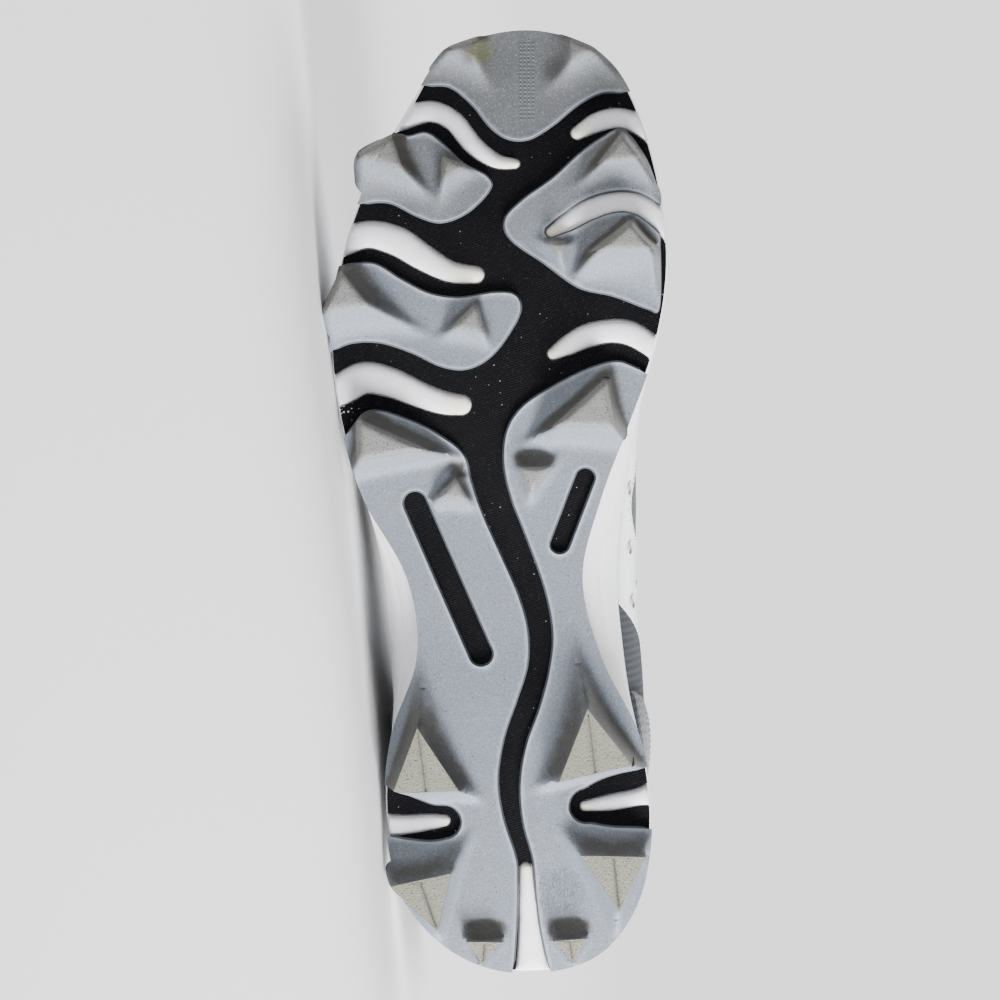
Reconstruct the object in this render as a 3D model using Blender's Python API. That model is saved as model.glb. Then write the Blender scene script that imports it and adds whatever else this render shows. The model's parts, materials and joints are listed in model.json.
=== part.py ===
"""A low baseball cleat for the right foot, lying on its lateral side, in metres with +Z up.

The shoe is modelled standing, +X from heel to toe, +Y towards the medial side, with the
ground under its lugs at Z = 0. Sizes and tables are in millimetres of that standing frame.
At the end the whole shoe is laid on its side, on the three points that carry its weight.
"""

import math

import bmesh
import bpy
from mathutils import Matrix, Vector

MM = 0.001
GAP = 0.3
POD_THICKNESS = 1.5
WEB_LOW = POD_THICKNESS + GAP
WEB_THICKNESS = 1.2
FOAM_LOW = WEB_LOW + WEB_THICKNESS + GAP
FOAM_SCALE = 10.0
RIB_LOW = 0.6
STATION_STEP = 25.0
WELD = 1e-5
LUG_MARGIN = 0.25
WALL = 2.0
INSOLE_THICKNESS = 4.0
INSOLE_CLEARANCE = 1.5
OVERLAY_LIFT = 0.4
COUNTER_LIFT = 0.8
EYESTAY_EDGE = 0.8
OVERLAY_THICKNESS = 1.0
EYELET_RADIUS = 2.2
EYELET_INSET = 8.0
EYELET_X = (198.5, 187.0, 175.5, 164.0, 152.5, 141.0)
LACE_WIDTH = 6.0
LACE_THICKNESS = 1.4
LACE_TUCK = 4.6
BAR_DROP = 0.8
TONGUE_THICKNESS = 4.0
TONGUE_CROWN = 1.4
VENT_RADIUS = 2.0
VENTS = (
    # x, height up the wall
    (156.0, 11.0),
    (138.0, 13.0),
    (121.0, 14.0),
    (110.0, 20.0),
)
BAND_ROWS = (16.0, 10.6, 5.3, 0.0)
PLAIN_ROWS = 5
UP = Vector((0.0, 0.0, 1.0))

# Heights of the plate's tread face and of the foam's top along the shoe.
LEVELS = (
    # x, low, high
    (-25.0, 16.0, 37.5),
    (0.0, 12.6, 36.0),
    (20.0, 11.0, 35.0),
    (50.0, 10.5, 33.5),
    (80.0, 11.4, 31.5),
    (110.0, 13.6, 29.5),
    (140.0, 13.8, 27.5),
    (170.0, 11.8, 25.6),
    (200.0, 10.8, 24.6),
    (230.0, 11.9, 25.6),
    (255.0, 15.0, 28.6),
    (280.0, 20.4, 33.4),
    (300.0, 26.0, 38.0),
    (325.0, 33.0, 44.0),
)

# The sole's outline at the plate and at the foam's top rim, from the toe round the lateral side.
# Its long sides have a row at each station.
SOLE = (
    # plate x, plate y, rim x, rim y
    (299.2, -7.0, 298.2, -6.5),
    (291.5, -24.5, 290.5, -23.5),
    (275.0, -35.0, 275.0, -35.3),
    (250.0, -48.7, 250.0, -47.6),
    (225.0, -56.8, 225.0, -54.0),
    (200.0, -59.8, 200.0, -56.0),
    (175.0, -56.9, 175.0, -53.4),
    (150.0, -49.3, 150.0, -48.2),
    (125.0, -35.6, 125.0, -43.2),
    (100.0, -32.4, 100.0, -40.6),
    (75.0, -40.6, 75.0, -40.0),
    (50.0, -42.4, 50.0, -39.6),
    (25.0, -37.4, 25.0, -34.6),
    (8.5, -23.7, 9.3, -22.2),
    (0.6, -6.5, 1.4, -6.0),
    (0.8, 13.0, 1.6, 12.0),
    (8.0, 28.2, 9.0, 26.4),
    (25.0, 38.8, 25.0, 36.4),
    (50.0, 42.2, 50.0, 39.6),
    (75.0, 38.3, 75.0, 37.4),
    (100.0, 26.2, 100.0, 33.7),
    (125.0, 20.2, 125.0, 31.5),
    (150.0, 26.0, 150.0, 33.3),
    (175.0, 35.3, 175.0, 37.6),
    (200.0, 44.0, 200.0, 42.4),
    (225.0, 47.5, 225.0, 44.9),
    (250.0, 44.9, 250.0, 43.2),
    (275.0, 37.8, 275.0, 36.6),
    (291.0, 28.0, 290.0, 27.0),
    (299.2, 11.0, 298.2, 11.0),
)

# The upper's lines from the feather edge to the throat or collar, round the same way.
LAST = (
    # foot x, foot y, top x, top y, top z, rise, flare, reach, drop, top wall
    (297.5, 4.0, 208.5, -2.5, 79.0, 20.0, 4.0, 48.0, 12.0, 2.2),
    (290.0, -22.0, 208.0, -7.0, 79.2, 20.0, 4.0, 46.0, 11.0, 2.2),
    (275.0, -33.6, 205.5, -12.0, 80.0, 20.0, 3.0, 40.0, 9.0, 2.2),
    (255.0, -44.0, 200.0, -15.0, 81.6, 20.0, 3.0, 32.0, 8.0, 2.2),
    (232.0, -51.8, 192.0, -16.5, 84.3, 22.0, 2.5, 26.0, 7.0, 2.2),
    (205.0, -55.2, 180.0, -17.0, 88.5, 24.0, 1.5, 22.0, 7.0, 2.2),
    (178.0, -53.0, 166.0, -17.5, 93.6, 26.0, 1.0, 19.0, 8.0, 2.2),
    (152.0, -47.6, 150.0, -18.0, 99.5, 28.0, 1.0, 17.0, 10.0, 2.2),
    (128.0, -42.6, 134.0, -19.5, 105.0, 28.0, 2.5, 14.0, 13.0, 2.6),
    (104.0, -39.8, 118.0, -26.5, 102.5, 28.0, 3.5, 6.0, 18.0, 4.5),
    (82.0, -39.0, 98.0, -34.8, 92.5, 24.0, 2.0, 2.0, 20.0, 6.5),
    (60.0, -38.8, 76.0, -38.6, 87.0, 20.0, -1.0, 1.0, 18.0, 7.0),
    (42.0, -38.0, 56.0, -38.2, 88.0, 20.0, -1.5, 0.5, 18.0, 7.0),
    (26.5, -34.0, 38.0, -33.6, 93.0, 20.0, -0.5, 0.0, 20.0, 7.0),
    (13.5, -24.6, 23.0, -24.5, 99.0, 22.0, 1.5, 0.0, 22.0, 6.8),
    (5.5, -12.0, 13.0, -12.5, 103.5, 22.0, 3.0, 0.5, 24.0, 6.5),
    (2.8, 3.0, 9.5, 0.5, 105.0, 22.0, 3.5, 1.0, 25.0, 6.5),
    (6.0, 18.0, 13.0, 13.0, 103.5, 22.0, 3.0, 0.5, 24.0, 6.5),
    (15.5, 29.0, 23.0, 24.0, 99.5, 22.0, 1.5, 0.0, 22.0, 6.8),
    (29.5, 36.0, 38.0, 31.8, 94.0, 20.0, 0.5, 0.0, 20.0, 7.0),
    (47.0, 38.3, 56.0, 35.4, 90.5, 20.0, 0.5, 0.5, 18.0, 7.0),
    (68.0, 37.3, 76.0, 35.8, 90.8, 20.0, 3.0, 1.0, 18.0, 7.0),
    (88.0, 34.6, 98.0, 32.2, 96.0, 22.0, 6.5, 2.0, 20.0, 6.5),
    (106.0, 32.0, 117.0, 25.5, 104.8, 22.0, 8.0, 6.0, 18.0, 4.5),
    (124.0, 30.6, 133.0, 19.5, 107.0, 24.0, 8.5, 12.0, 13.0, 2.6),
    (146.0, 32.0, 149.0, 17.5, 101.0, 24.0, 7.0, 15.0, 10.0, 2.2),
    (170.0, 35.7, 165.5, 16.0, 94.6, 24.0, 4.0, 17.0, 8.0, 2.2),
    (195.0, 40.4, 180.0, 14.5, 89.0, 22.0, 2.5, 19.0, 7.0, 2.2),
    (222.0, 43.7, 193.0, 13.0, 84.3, 20.0, 2.0, 22.0, 7.0, 2.2),
    (247.0, 42.0, 201.0, 11.0, 81.6, 18.0, 2.0, 28.0, 8.0, 2.2),
    (270.0, 36.5, 205.8, 7.5, 80.0, 18.0, 3.0, 38.0, 9.0, 2.2),
    (288.0, 26.0, 208.0, 2.5, 79.2, 19.0, 4.0, 45.0, 11.0, 2.2),
)
CLOSE_STATIONS = ((0.0, 2.0), (12.5, 19.5), (30.5, 32.0))
LATERAL_THROAT = (1.0, 9.0)
MEDIAL_THROAT = (24.0, 32.0)

# White foam ribs: centre line and half width, from the sole's edge inwards.
RIBS = {
    "lateral_front": ((268.0, -46.0, 3.0), (271.5, -36.5, 3.4), (273.7, -28.0, 3.3), (270.5, -20.8, 3.1),
                      (262.8, -14.5, 2.9), (257.7, -7.5, 2.3), (256.7, -1.3, 1.6)),
    "lateral_mid": ((227.0, -64.0, 3.6), (231.5, -55.5, 4.0), (234.0, -47.5, 4.3), (231.8, -38.5, 4.6),
                    (226.8, -30.5, 4.1), (222.3, -22.0, 3.3), (221.2, -13.6, 2.6)),
    "lateral_rear": ((181.0, -64.0, 4.0), (185.0, -56.0, 4.8), (188.5, -49.0, 4.9), (187.0, -40.5, 4.5),
                     (183.0, -31.0, 3.9), (180.6, -24.0, 3.6), (179.9, -18.3, 3.2)),
    "medial_front": ((263.0, 46.0, 3.0), (268.8, 39.5, 3.2), (271.6, 32.0, 3.1), (270.2, 25.0, 3.0),
                     (266.6, 18.6, 2.0)),
    "medial_mid": ((231.0, 51.0, 3.0), (238.5, 45.0, 3.4), (243.6, 38.0, 3.6), (244.4, 30.5, 3.5),
                   (242.0, 22.5, 3.6), (238.2, 15.8, 3.2), (234.8, 10.2, 2.0)),
    "medial_rear": ((193.0, 48.0, 3.0), (198.5, 42.0, 3.4), (202.5, 35.5, 3.8), (203.3, 29.0, 3.6),
                    (201.8, 21.5, 3.5), (198.8, 15.5, 2.9), (196.2, 10.9, 1.8)),
    "heel_lateral": ((46.6, -46.0, 3.7), (47.0, -36.0, 2.9), (47.8, -28.0, 2.4), (48.2, -23.6, 1.8)),
    "heel_medial": ((57.6, 46.0, 4.6), (55.7, 38.0, 2.7), (54.0, 29.0, 2.4), (52.9, 21.0, 1.5)),
    "heel_back": ((-4.0, 4.6, 5.6), (12.0, 3.5, 3.4), (24.0, 2.8, 2.6), (33.0, 2.2, 1.9)),
}

# The inner edge of each rubber pod, then corners outside the sole that close it.
PODS = {
    "outsole_toe": (
        ((281.3, -34.0), (282.4, -28.0), (281.8, -21.5), (276.0, -14.5), (269.0, -9.0), (265.2, -3.5),
         (265.0, 3.0), (269.4, 10.5), (276.0, 18.5), (279.8, 26.0), (280.2, 34.0), (279.0, 41.0)),
        ((320.0, 45.0), (320.0, -45.0)),
    ),
    "outsole_lateral_front": (
        ((241.5, -58.0), (244.4, -48.0), (244.4, -40.5), (240.2, -32.0), (238.3, -24.5), (241.6, -16.3),
         (248.5, -9.6), (252.2, -10.2), (256.6, -18.0), (262.6, -24.2), (266.3, -29.5), (265.2, -35.5),
         (267.2, -41.0), (268.0, -47.0)),
        ((264.0, -64.0), (246.0, -68.0)),
    ),
    "outsole_lateral_mid": (
        ((223.6, -62.0), (224.2, -53.0), (224.2, -45.5), (219.2, -37.0), (214.8, -28.0), (213.6, -18.5),
         (215.2, -8.0), (214.6, -1.5), (210.2, 0.2), (203.0, -3.3), (195.6, -9.2), (191.8, -16.5),
         (192.6, -24.5), (197.0, -34.0), (200.2, -44.5), (199.6, -54.5), (195.0, -62.0)),
        ((198.0, -72.0), (220.0, -72.0)),
    ),
    "outsole_medial_front": (
        ((246.0, 45.2), (252.0, 42.8), (260.0, 39.0), (267.2, 33.0), (265.0, 27.0), (259.2, 19.0),
         (251.8, 11.0), (244.8, 1.4), (238.6, -4.2), (232.6, -2.2), (225.4, 8.0), (217.6, 19.0),
         (214.9, 30.0), (210.8, 41.0), (210.5, 44.2), (222.0, 44.5), (236.0, 44.3)),
        (),
    ),
    "outsole_lateral_rear": (
        ((165.0, -62.0), (171.5, -53.5), (176.8, -49.0), (177.6, -43.5), (174.0, -33.0), (169.2, -24.0),
         (164.0, -17.8), (156.0, -15.6), (146.0, -12.2), (132.5, -6.2), (120.0, -0.7), (109.0, 2.3),
         (98.0, 2.4), (87.0, -0.9), (75.0, -5.0), (62.0, -7.0), (50.0, -5.5), (37.0, -1.4),
         (30.0, -0.9), (16.0, -1.1), (-6.0, -2.6)),
        ((-20.0, -60.0), (120.0, -70.0)),
    ),
    "outsole_medial_rear": (
        ((187.0, 46.0), (191.6, 36.5), (193.3, 30.5), (190.8, 21.5), (185.8, 11.5), (179.6, 1.8),
         (172.0, -3.4), (162.0, -4.5), (151.0, -2.2), (138.0, 2.8), (122.0, 8.5), (108.0, 11.1),
         (96.0, 10.0), (84.0, 6.9), (72.0, 2.6), (60.0, 0.7), (48.0, 1.6), (36.0, 4.8),
         (24.0, 5.9), (12.0, 7.6), (-6.0, 11.6)),
        ((-20.0, 60.0), (120.0, 70.0)),
    ),
}

# Openings through the rear pods that show the black web: centre line and half width.
WINDOWS = {
    "outsole_lateral_rear": (
        ((55.5, -50.0, 6.5), (50.5, -39.0, 7.4), (47.8, -29.0, 6.4), (47.9, -23.7, 5.8)),
        ((149.0, -33.0, 4.2), (125.0, -22.5, 4.2), (101.0, -12.0, 4.2)),
    ),
    "outsole_medial_rear": (
        ((55.6, 50.0, 10.4), (55.3, 38.0, 9.6), (54.2, 28.5, 8.3), (53.0, 21.5, 6.0)),
        ((136.0, 13.0, 3.6), (146.5, 17.0, 3.6), (157.0, 21.0, 3.6)),
    ),
}

# Lugs: the tread's corners and the skirt's corners; a grounded lug's tread is on Z = 0.
LUGS = (
    # pod, height (0 is grounded), tread corners, skirt corners
    ("outsole_toe", 6.5, ((294.3, -23.7), (297.6, -12.8), (290.5, -14.0)),
     ((285.5, -30.5), (299.6, -9.0), (280.5, -8.5))),
    ("outsole_toe", 6.5, ((297.6, 16.5), (294.0, 25.0), (290.0, 17.0)),
     ((299.4, 12.0), (283.0, 33.5), (280.5, 8.5))),
    ("outsole_lateral_front", 9.0, ((265.8, -40.8), (259.3, -52.0), (254.0, -36.8)),
     ((266.8, -36.5), (245.5, -51.0), (245.0, -26.5))),
    ("outsole_lateral_front", 5.5, ((258.4, -24.2), (255.8, -16.8), (250.2, -24.6)),
     ((263.0, -25.0), (254.0, -11.5), (241.5, -26.5))),
    ("outsole_lateral_mid", 0.0, ((222.5, -56.6), (209.0, -62.5), (211.0, -47.6)),
     ((225.0, -50.0), (199.0, -59.5), (202.5, -29.0))),
    ("outsole_lateral_mid", 5.5, ((212.0, -13.4), (204.2, -21.4), (202.3, -10.6)),
     ((215.0, -13.5), (200.5, -27.0), (196.5, -8.0))),
    ("outsole_medial_front", 9.0, ((266.6, 33.0), (256.2, 25.0), (258.2, 39.0)),
     ((268.5, 32.5), (248.5, 16.5), (248.0, 44.5))),
    ("outsole_medial_front", 0.0, ((238.0, 35.0), (229.0, 43.5), (228.2, 22.3)),
     ((240.5, 36.0), (212.5, 44.8), (219.5, 16.0))),
    ("outsole_medial_front", 5.5, ((231.6, 9.4), (231.4, 14.6), (226.2, 12.8)),
     ((233.0, 4.5), (232.5, 19.0), (219.5, 15.0))),
    ("outsole_lateral_rear", 0.0, ((175.5, -51.4), (162.0, -51.0), (165.6, -29.0)),
     ((179.0, -47.0), (156.0, -54.5), (163.0, -17.0))),
    ("outsole_lateral_rear", 5.5, ((156.4, -20.0), (150.2, -27.0), (149.7, -15.8)),
     ((162.0, -18.5), (146.5, -30.0), (146.5, -13.5))),
    ("outsole_medial_rear", 0.0, ((188.0, 27.3), (172.5, 30.0), (173.0, 10.6)),
     ((193.0, 29.5), (165.5, 36.5), (167.5, 0.5))),
    ("outsole_medial_rear", 5.5, ((160.0, 0.2), (160.0, 10.5), (151.6, 4.2)),
     ((165.0, -3.0), (164.5, 13.5), (147.5, 3.0))),
    ("outsole_lateral_rear", 0.0, ((78.0, -32.0), (57.6, -39.6), (58.4, -19.0)),
     ((98.0, -31.0), (54.6, -43.5), (54.8, -12.0))),
    ("outsole_lateral_rear", 0.0, ((32.4, -21.5), (28.2, -40.8), (14.5, -25.6)),
     ((44.0, -15.0), (36.0, -42.5), (9.5, -25.5))),
    ("outsole_lateral_rear", 6.0, ((10.4, -16.5), (10.2, -5.4), (3.4, -11.5)),
     ((17.5, -17.5), (17.0, -4.0), (1.5, -12.0))),
    ("outsole_medial_rear", 0.0, ((84.0, 21.5), (61.2, 12.6), (66.4, 35.4)),
     ((106.0, 17.5), (58.0, 5.0), (64.0, 41.0))),
    ("outsole_medial_rear", 0.0, ((38.0, 19.5), (37.6, 39.8), (20.8, 31.5)),
     ((46.5, 12.5), (45.5, 42.5), (11.0, 31.0))),
    ("outsole_medial_rear", 6.0, ((10.6, 10.6), (11.4, 21.2), (4.0, 17.0)),
     ((17.5, 9.0), (18.0, 23.0), (2.0, 17.5))),
)

# Colour, roughness and density of each material, by name.
FINISHES = {
    "grey_rubber": ((0.50, 0.53, 0.57), 0.60, 1200.0),
    "black_plate": ((0.012, 0.012, 0.015), 0.55, 1100.0),
    "white_foam": ((0.84, 0.84, 0.86), 0.70, 300.0),
    "white_leather": ((0.83, 0.85, 0.88), 0.45, 900.0),
    "grey_synthetic": ((0.20, 0.22, 0.25), 0.60, 900.0),
    "black_synthetic": ((0.015, 0.015, 0.018), 0.50, 900.0),
    "black_textile": ((0.02, 0.02, 0.022), 0.90, 300.0),
    "white_lace": ((0.82, 0.82, 0.82), 0.85, 300.0),
}


def clear_scene():
    for obj in list(bpy.data.objects):
        bpy.data.objects.remove(obj)


def material(name):
    found = bpy.data.materials.get(name)
    if found:
        return found
    colour, roughness, _ = FINISHES[name]
    made = bpy.data.materials.new(name)
    made.use_nodes = True
    shader = made.node_tree.nodes["Principled BSDF"]
    shader.inputs["Base Color"].default_value = (*colour, 1.0)
    shader.inputs["Roughness"].default_value = roughness
    made.diffuse_color = (*colour, 1.0)
    return made


def collection(name):
    made = bpy.data.collections.new(name)
    bpy.context.scene.collection.children.link(made)
    return made


def catmull(a, b, c, d, t):
    """The point at t between b and c on a smooth curve through all four."""
    return tuple(
        0.5 * (2 * q + (r - p) * t + (2 * p - 5 * q + 4 * r - s) * t * t + (3 * q - p - 3 * r + s) * t**3)
        for p, q, r, s in zip(a, b, c, d)
    )


def on_loop(rows, at):
    """The row at a whole or part station of a closed table."""
    n = len(rows)
    first = math.floor(at)
    return catmull(*(rows[(first + k) % n] for k in (-1, 0, 1, 2)), at - first)


def smooth_line(rows, per_span):
    """A smooth open curve through the rows."""
    rows = (rows[0], *rows, rows[-1])
    made = [
        catmull(*rows[i : i + 4], k / per_span)
        for i in range(len(rows) - 3)
        for k in range(per_span)
    ]
    return [*made, rows[-1]]


def level(x, column):
    """The plate's low face (1) or the foam's top (2) at x, on a smooth curve through LEVELS."""
    last = len(LEVELS) - 1
    i = max(k for k in range(last) if LEVELS[k][0] <= max(x, LEVELS[0][0]))
    a, b = LEVELS[i], LEVELS[i + 1]
    before, after = LEVELS[max(i - 1, 0)], LEVELS[min(i + 2, last)]
    span = b[0] - a[0]
    t = (x - a[0]) / span
    slope_a = (b[column] - before[column]) / (b[0] - before[0]) * span
    slope_b = (after[column] - a[column]) / (after[0] - a[0]) * span
    return (
        a[column] * (2 * t**3 - 3 * t**2 + 1)
        + slope_a * (t**3 - 2 * t**2 + t)
        + b[column] * (3 * t**2 - 2 * t**3)
        + slope_b * (t**3 - t**2)
    )


def facet(x, column):
    """The level at x on straight facets between the stations, as every layer is bent."""
    start = math.floor(x / STATION_STEP) * STATION_STEP
    share = (x - start) / STATION_STEP
    return level(start, column) * (1 - share) + level(start + STATION_STEP, column) * share


def low(x):
    return facet(x, 1)


def high(x):
    return facet(x, 2)


def unlinked_object(name, mesh, where, finish=None):
    obj = bpy.data.objects.new(name, mesh)
    where.objects.link(obj)
    if finish:
        mesh.materials.clear()
        mesh.materials.append(material(finish))
    return obj


def in_metres(points):
    return [Vector(p) * MM for p in points]


def loft(name, rings, where, finish=None, ring_of_rings=False):
    """A closed solid through rings of equal count, capped unless its last ring meets its first."""
    bm = bmesh.new()
    rows = [[bm.verts.new(p) for p in in_metres(ring)] for ring in rings]
    count = len(rows[0])
    pairs = list(zip(rows, rows[1:]))
    if ring_of_rings:
        pairs.append((rows[-1], rows[0]))
    for one, two in pairs:
        for i in range(count):
            j = (i + 1) % count
            bm.faces.new((one[i], one[j], two[j], two[i]))
    if not ring_of_rings:
        bm.faces.new(rows[0])
        bm.faces.new(rows[-1])
    bmesh.ops.recalc_face_normals(bm, faces=bm.faces)
    bmesh.ops.triangulate(bm, faces=bm.faces)
    mesh = bpy.data.meshes.new(name)
    bm.to_mesh(mesh)
    bm.free()
    return unlinked_object(name, mesh, where, finish)


def prism(name, outline, bottom, top, where, finish=None):
    """A flat outline given a thickness, as a filled 2D curve made a mesh."""
    curve = bpy.data.curves.new(name, "CURVE")
    curve.dimensions = "2D"
    curve.fill_mode = "BOTH"
    curve.extrude = (top - bottom) / 2 * MM
    spline = curve.splines.new("POLY")
    spline.points.add(len(outline) - 1)
    for point, (x, y) in zip(spline.points, outline):
        point.co = (x * MM, y * MM, 0.0, 1.0)
    spline.use_cyclic_u = True
    flat = bpy.data.objects.new(name, curve)
    bpy.context.scene.collection.objects.link(flat)
    flat.location.z = (top + bottom) / 2 * MM
    bpy.context.view_layer.update()
    mesh = bpy.data.meshes.new_from_object(flat.evaluated_get(bpy.context.evaluated_depsgraph_get()))
    mesh.transform(flat.matrix_world)
    bpy.data.objects.remove(flat)
    bm = bmesh.new()
    bm.from_mesh(mesh)
    bmesh.ops.remove_doubles(bm, verts=bm.verts, dist=1e-6)
    bmesh.ops.dissolve_limit(bm, angle_limit=math.radians(1.0), verts=[], edges=bm.edges)
    bmesh.ops.recalc_face_normals(bm, faces=bm.faces)
    bm.to_mesh(mesh)
    bm.free()
    return unlinked_object(name, mesh, where, finish)


def merge_flat(bm):
    """Joins the faces that lie in one plane and drops the points along straight edges."""
    bmesh.ops.dissolve_limit(bm, angle_limit=math.radians(0.2), verts=bm.verts, edges=bm.edges)


def combine(obj, tool, operation):
    """obj joined to, cut by or kept inside tool, which is used up."""
    modifier = obj.modifiers.new(operation.lower(), "BOOLEAN")
    modifier.operation = operation
    modifier.solver = "EXACT"
    modifier.object = tool
    bpy.context.view_layer.update()
    evaluated = obj.evaluated_get(bpy.context.evaluated_depsgraph_get())
    bm = bmesh.new()
    bm.from_mesh(evaluated.data)
    bmesh.ops.remove_doubles(bm, verts=bm.verts, dist=WELD)
    bmesh.ops.dissolve_degenerate(bm, edges=bm.edges, dist=WELD)
    merge_flat(bm)
    bmesh.ops.triangulate(bm, faces=bm.faces)
    obj.modifiers.clear()
    bm.to_mesh(obj.data)
    bm.free()
    bpy.data.objects.remove(tool)
    return obj


def bend(obj, height):
    """Cuts obj across at each station and moves every point to the height given for it."""
    bm = bmesh.new()
    bm.from_mesh(obj.data)
    merge_flat(bm)
    x = STATION_STEP
    while x < 300.0:
        parts = [*bm.verts, *bm.edges, *bm.faces]
        bmesh.ops.bisect_plane(bm, geom=parts, dist=1e-6, plane_co=(x * MM, 0, 0), plane_no=(1, 0, 0))
        x += STATION_STEP
    for vert in bm.verts:
        vert.co.z = height(vert.co.x / MM, vert.co.z / MM) * MM
    bmesh.ops.triangulate(bm, faces=bm.faces)
    bm.to_mesh(obj.data)
    bm.free()
    return obj


def outline_normal(loop, i):
    """The outward side of a loop that runs from the toe round the lateral side."""
    ahead, behind = loop[(i + 1) % len(loop)], loop[i - 1]
    along = Vector((ahead[0] - behind[0], ahead[1] - behind[1])).normalized()
    return Vector((along.y, -along.x)) * -1.0


def clockwise(loop):
    """The loop in the order of SOLE, seen from above."""
    area = sum(a[0] * b[1] - b[0] * a[1] for a, b in zip(loop, [*loop[1:], loop[0]]))
    return loop if area < 0 else loop[::-1]


def inset(loop, distance):
    """The loop moved inwards all the way round."""
    moved = []
    for i, point in enumerate(loop):
        side = outline_normal(loop, i)
        moved.append((point[0] - side.x * distance, point[1] - side.y * distance))
    return moved


def sole_loops():
    """The plate's outline and the foam's rim, two points to a row of SOLE."""
    rows = [on_loop(SOLE, i / 2) for i in range(2 * len(SOLE))]
    return [r[:2] for r in rows], [r[2:] for r in rows]


def ribbon(rows, grow):
    """The outline of a band along a centre line, with a round inner end."""
    line = smooth_line(rows, 2)
    left, right = [], []
    for i, (x, y, half) in enumerate(line):
        ahead, behind = line[min(i + 1, len(line) - 1)], line[max(i - 1, 0)]
        along = Vector((ahead[0] - behind[0], ahead[1] - behind[1])).normalized()
        reach = half + grow
        left.append((x - along.y * reach, y + along.x * reach))
        right.append((x + along.y * reach, y - along.x * reach))
    x, y, half = line[-1]
    start = math.atan2(left[-1][1] - y, left[-1][0] - x)
    reach = half + grow
    turns = [start - math.pi * k / 4 for k in range(1, 4)]
    cap = [(x + reach * math.cos(turn), y + reach * math.sin(turn)) for turn in turns]
    return [*left, *cap, *right[::-1]]


def capsule(rows, grow):
    """The outline of a straight band with both ends round."""
    (x0, y0, half), (x1, y1, _) = rows[0], rows[-1]
    heading = math.atan2(y1 - y0, x1 - x0)
    ends = ((x1, y1, heading - math.pi / 2), (x0, y0, heading + math.pi / 2))
    reach = half + grow
    turns = [math.pi * k / 4 for k in range(5)]
    return [
        (x + reach * math.cos(start + turn), y + reach * math.sin(start + turn))
        for x, y, start in ends
        for turn in turns
    ]


def pod_outline(name):
    edge, corners = PODS[name]
    if corners:
        return clockwise([*smooth_line(edge, 1), *corners])
    return clockwise(list(edge))


def lug(name, height, tread, skirt, where):
    """A claw with concave flanks, from its skirt inside the pod down to its tread."""
    def drop_of(x):
        return height if height else low(x)

    base = [Vector((x, y, low(x) + POD_THICKNESS / 2)) for x, y in skirt]
    foot = [Vector((x, y, low(x) - 0.4)) for x, y in skirt]
    tips = [Vector((x, y, low(x) - drop_of(x))) for x, y in tread]
    waist = [f.lerp(t, 0.58) for f, t in zip(foot, tips)]
    for point, f, t in zip(waist, foot, tips):
        point.z = f.z + (t.z - f.z) * 0.42
    return loft(name, [base, foot, waist, tips], where)


def outsole_pod(name, plate, parts, tools):
    """One rubber pod: its piece of the layer, its windows and its lugs."""
    outline = pod_outline(name)
    clip = inset(outline, LUG_MARGIN)
    pod = prism(name, plate, 0.0, POD_THICKNESS, parts, "grey_rubber")
    combine(pod, prism("cutter", outline, -20.0, 20.0, tools), "INTERSECT")
    for rows in WINDOWS.get(name, ()):
        shape = ribbon if rows[-1][2] != rows[0][2] else capsule
        combine(pod, prism("window", shape(rows, 0.0), -20.0, 20.0, tools), "DIFFERENCE")
    if name == "outsole_medial_front":
        slot = prism("slot", ribbon(RIBS["medial_mid"], GAP), -20.0, 20.0, tools)
        combine(pod, slot, "DIFFERENCE")
    bend(pod, lambda x, z: low(x) + z)
    for i, (owner, height, tread, skirt) in enumerate(LUGS):
        if owner != name:
            continue
        claw = lug(f"lug_{i}", height, tread, skirt, tools)
        combine(claw, prism("cutter", clip, -20.0, 60.0, tools), "INTERSECT")
        for rows in WINDOWS.get(name, ())[:1]:
            combine(claw, prism("window", ribbon(rows, LUG_MARGIN), -20.0, 60.0, tools), "DIFFERENCE")
        if name == "outsole_medial_front":
            slot = prism("slot", ribbon(RIBS["medial_mid"], GAP + LUG_MARGIN), -20.0, 60.0, tools)
            combine(claw, slot, "DIFFERENCE")
        combine(pod, claw, "UNION")
    return pod


def outsole_web(plate, parts, tools):
    """The black plate under all the pods, with a slot for each foam rib."""
    web = prism("outsole_web", inset(plate, 0.8), WEB_LOW, WEB_LOW + WEB_THICKNESS, parts, "black_plate")
    for rows in RIBS.values():
        combine(web, prism("slot", ribbon(rows, GAP), -5.0, 20.0, tools), "DIFFERENCE")
    return bend(web, lambda x, z: low(x) + z)


def foam_height(x, z):
    """From the flat layers' heights to the shoe's: ribs below FOAM_LOW, the wall above it."""
    if z <= FOAM_LOW:
        return low(x) + z
    share = (z - FOAM_LOW) / FOAM_SCALE
    return (low(x) + FOAM_LOW) * (1 - share) + high(x) * share


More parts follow.
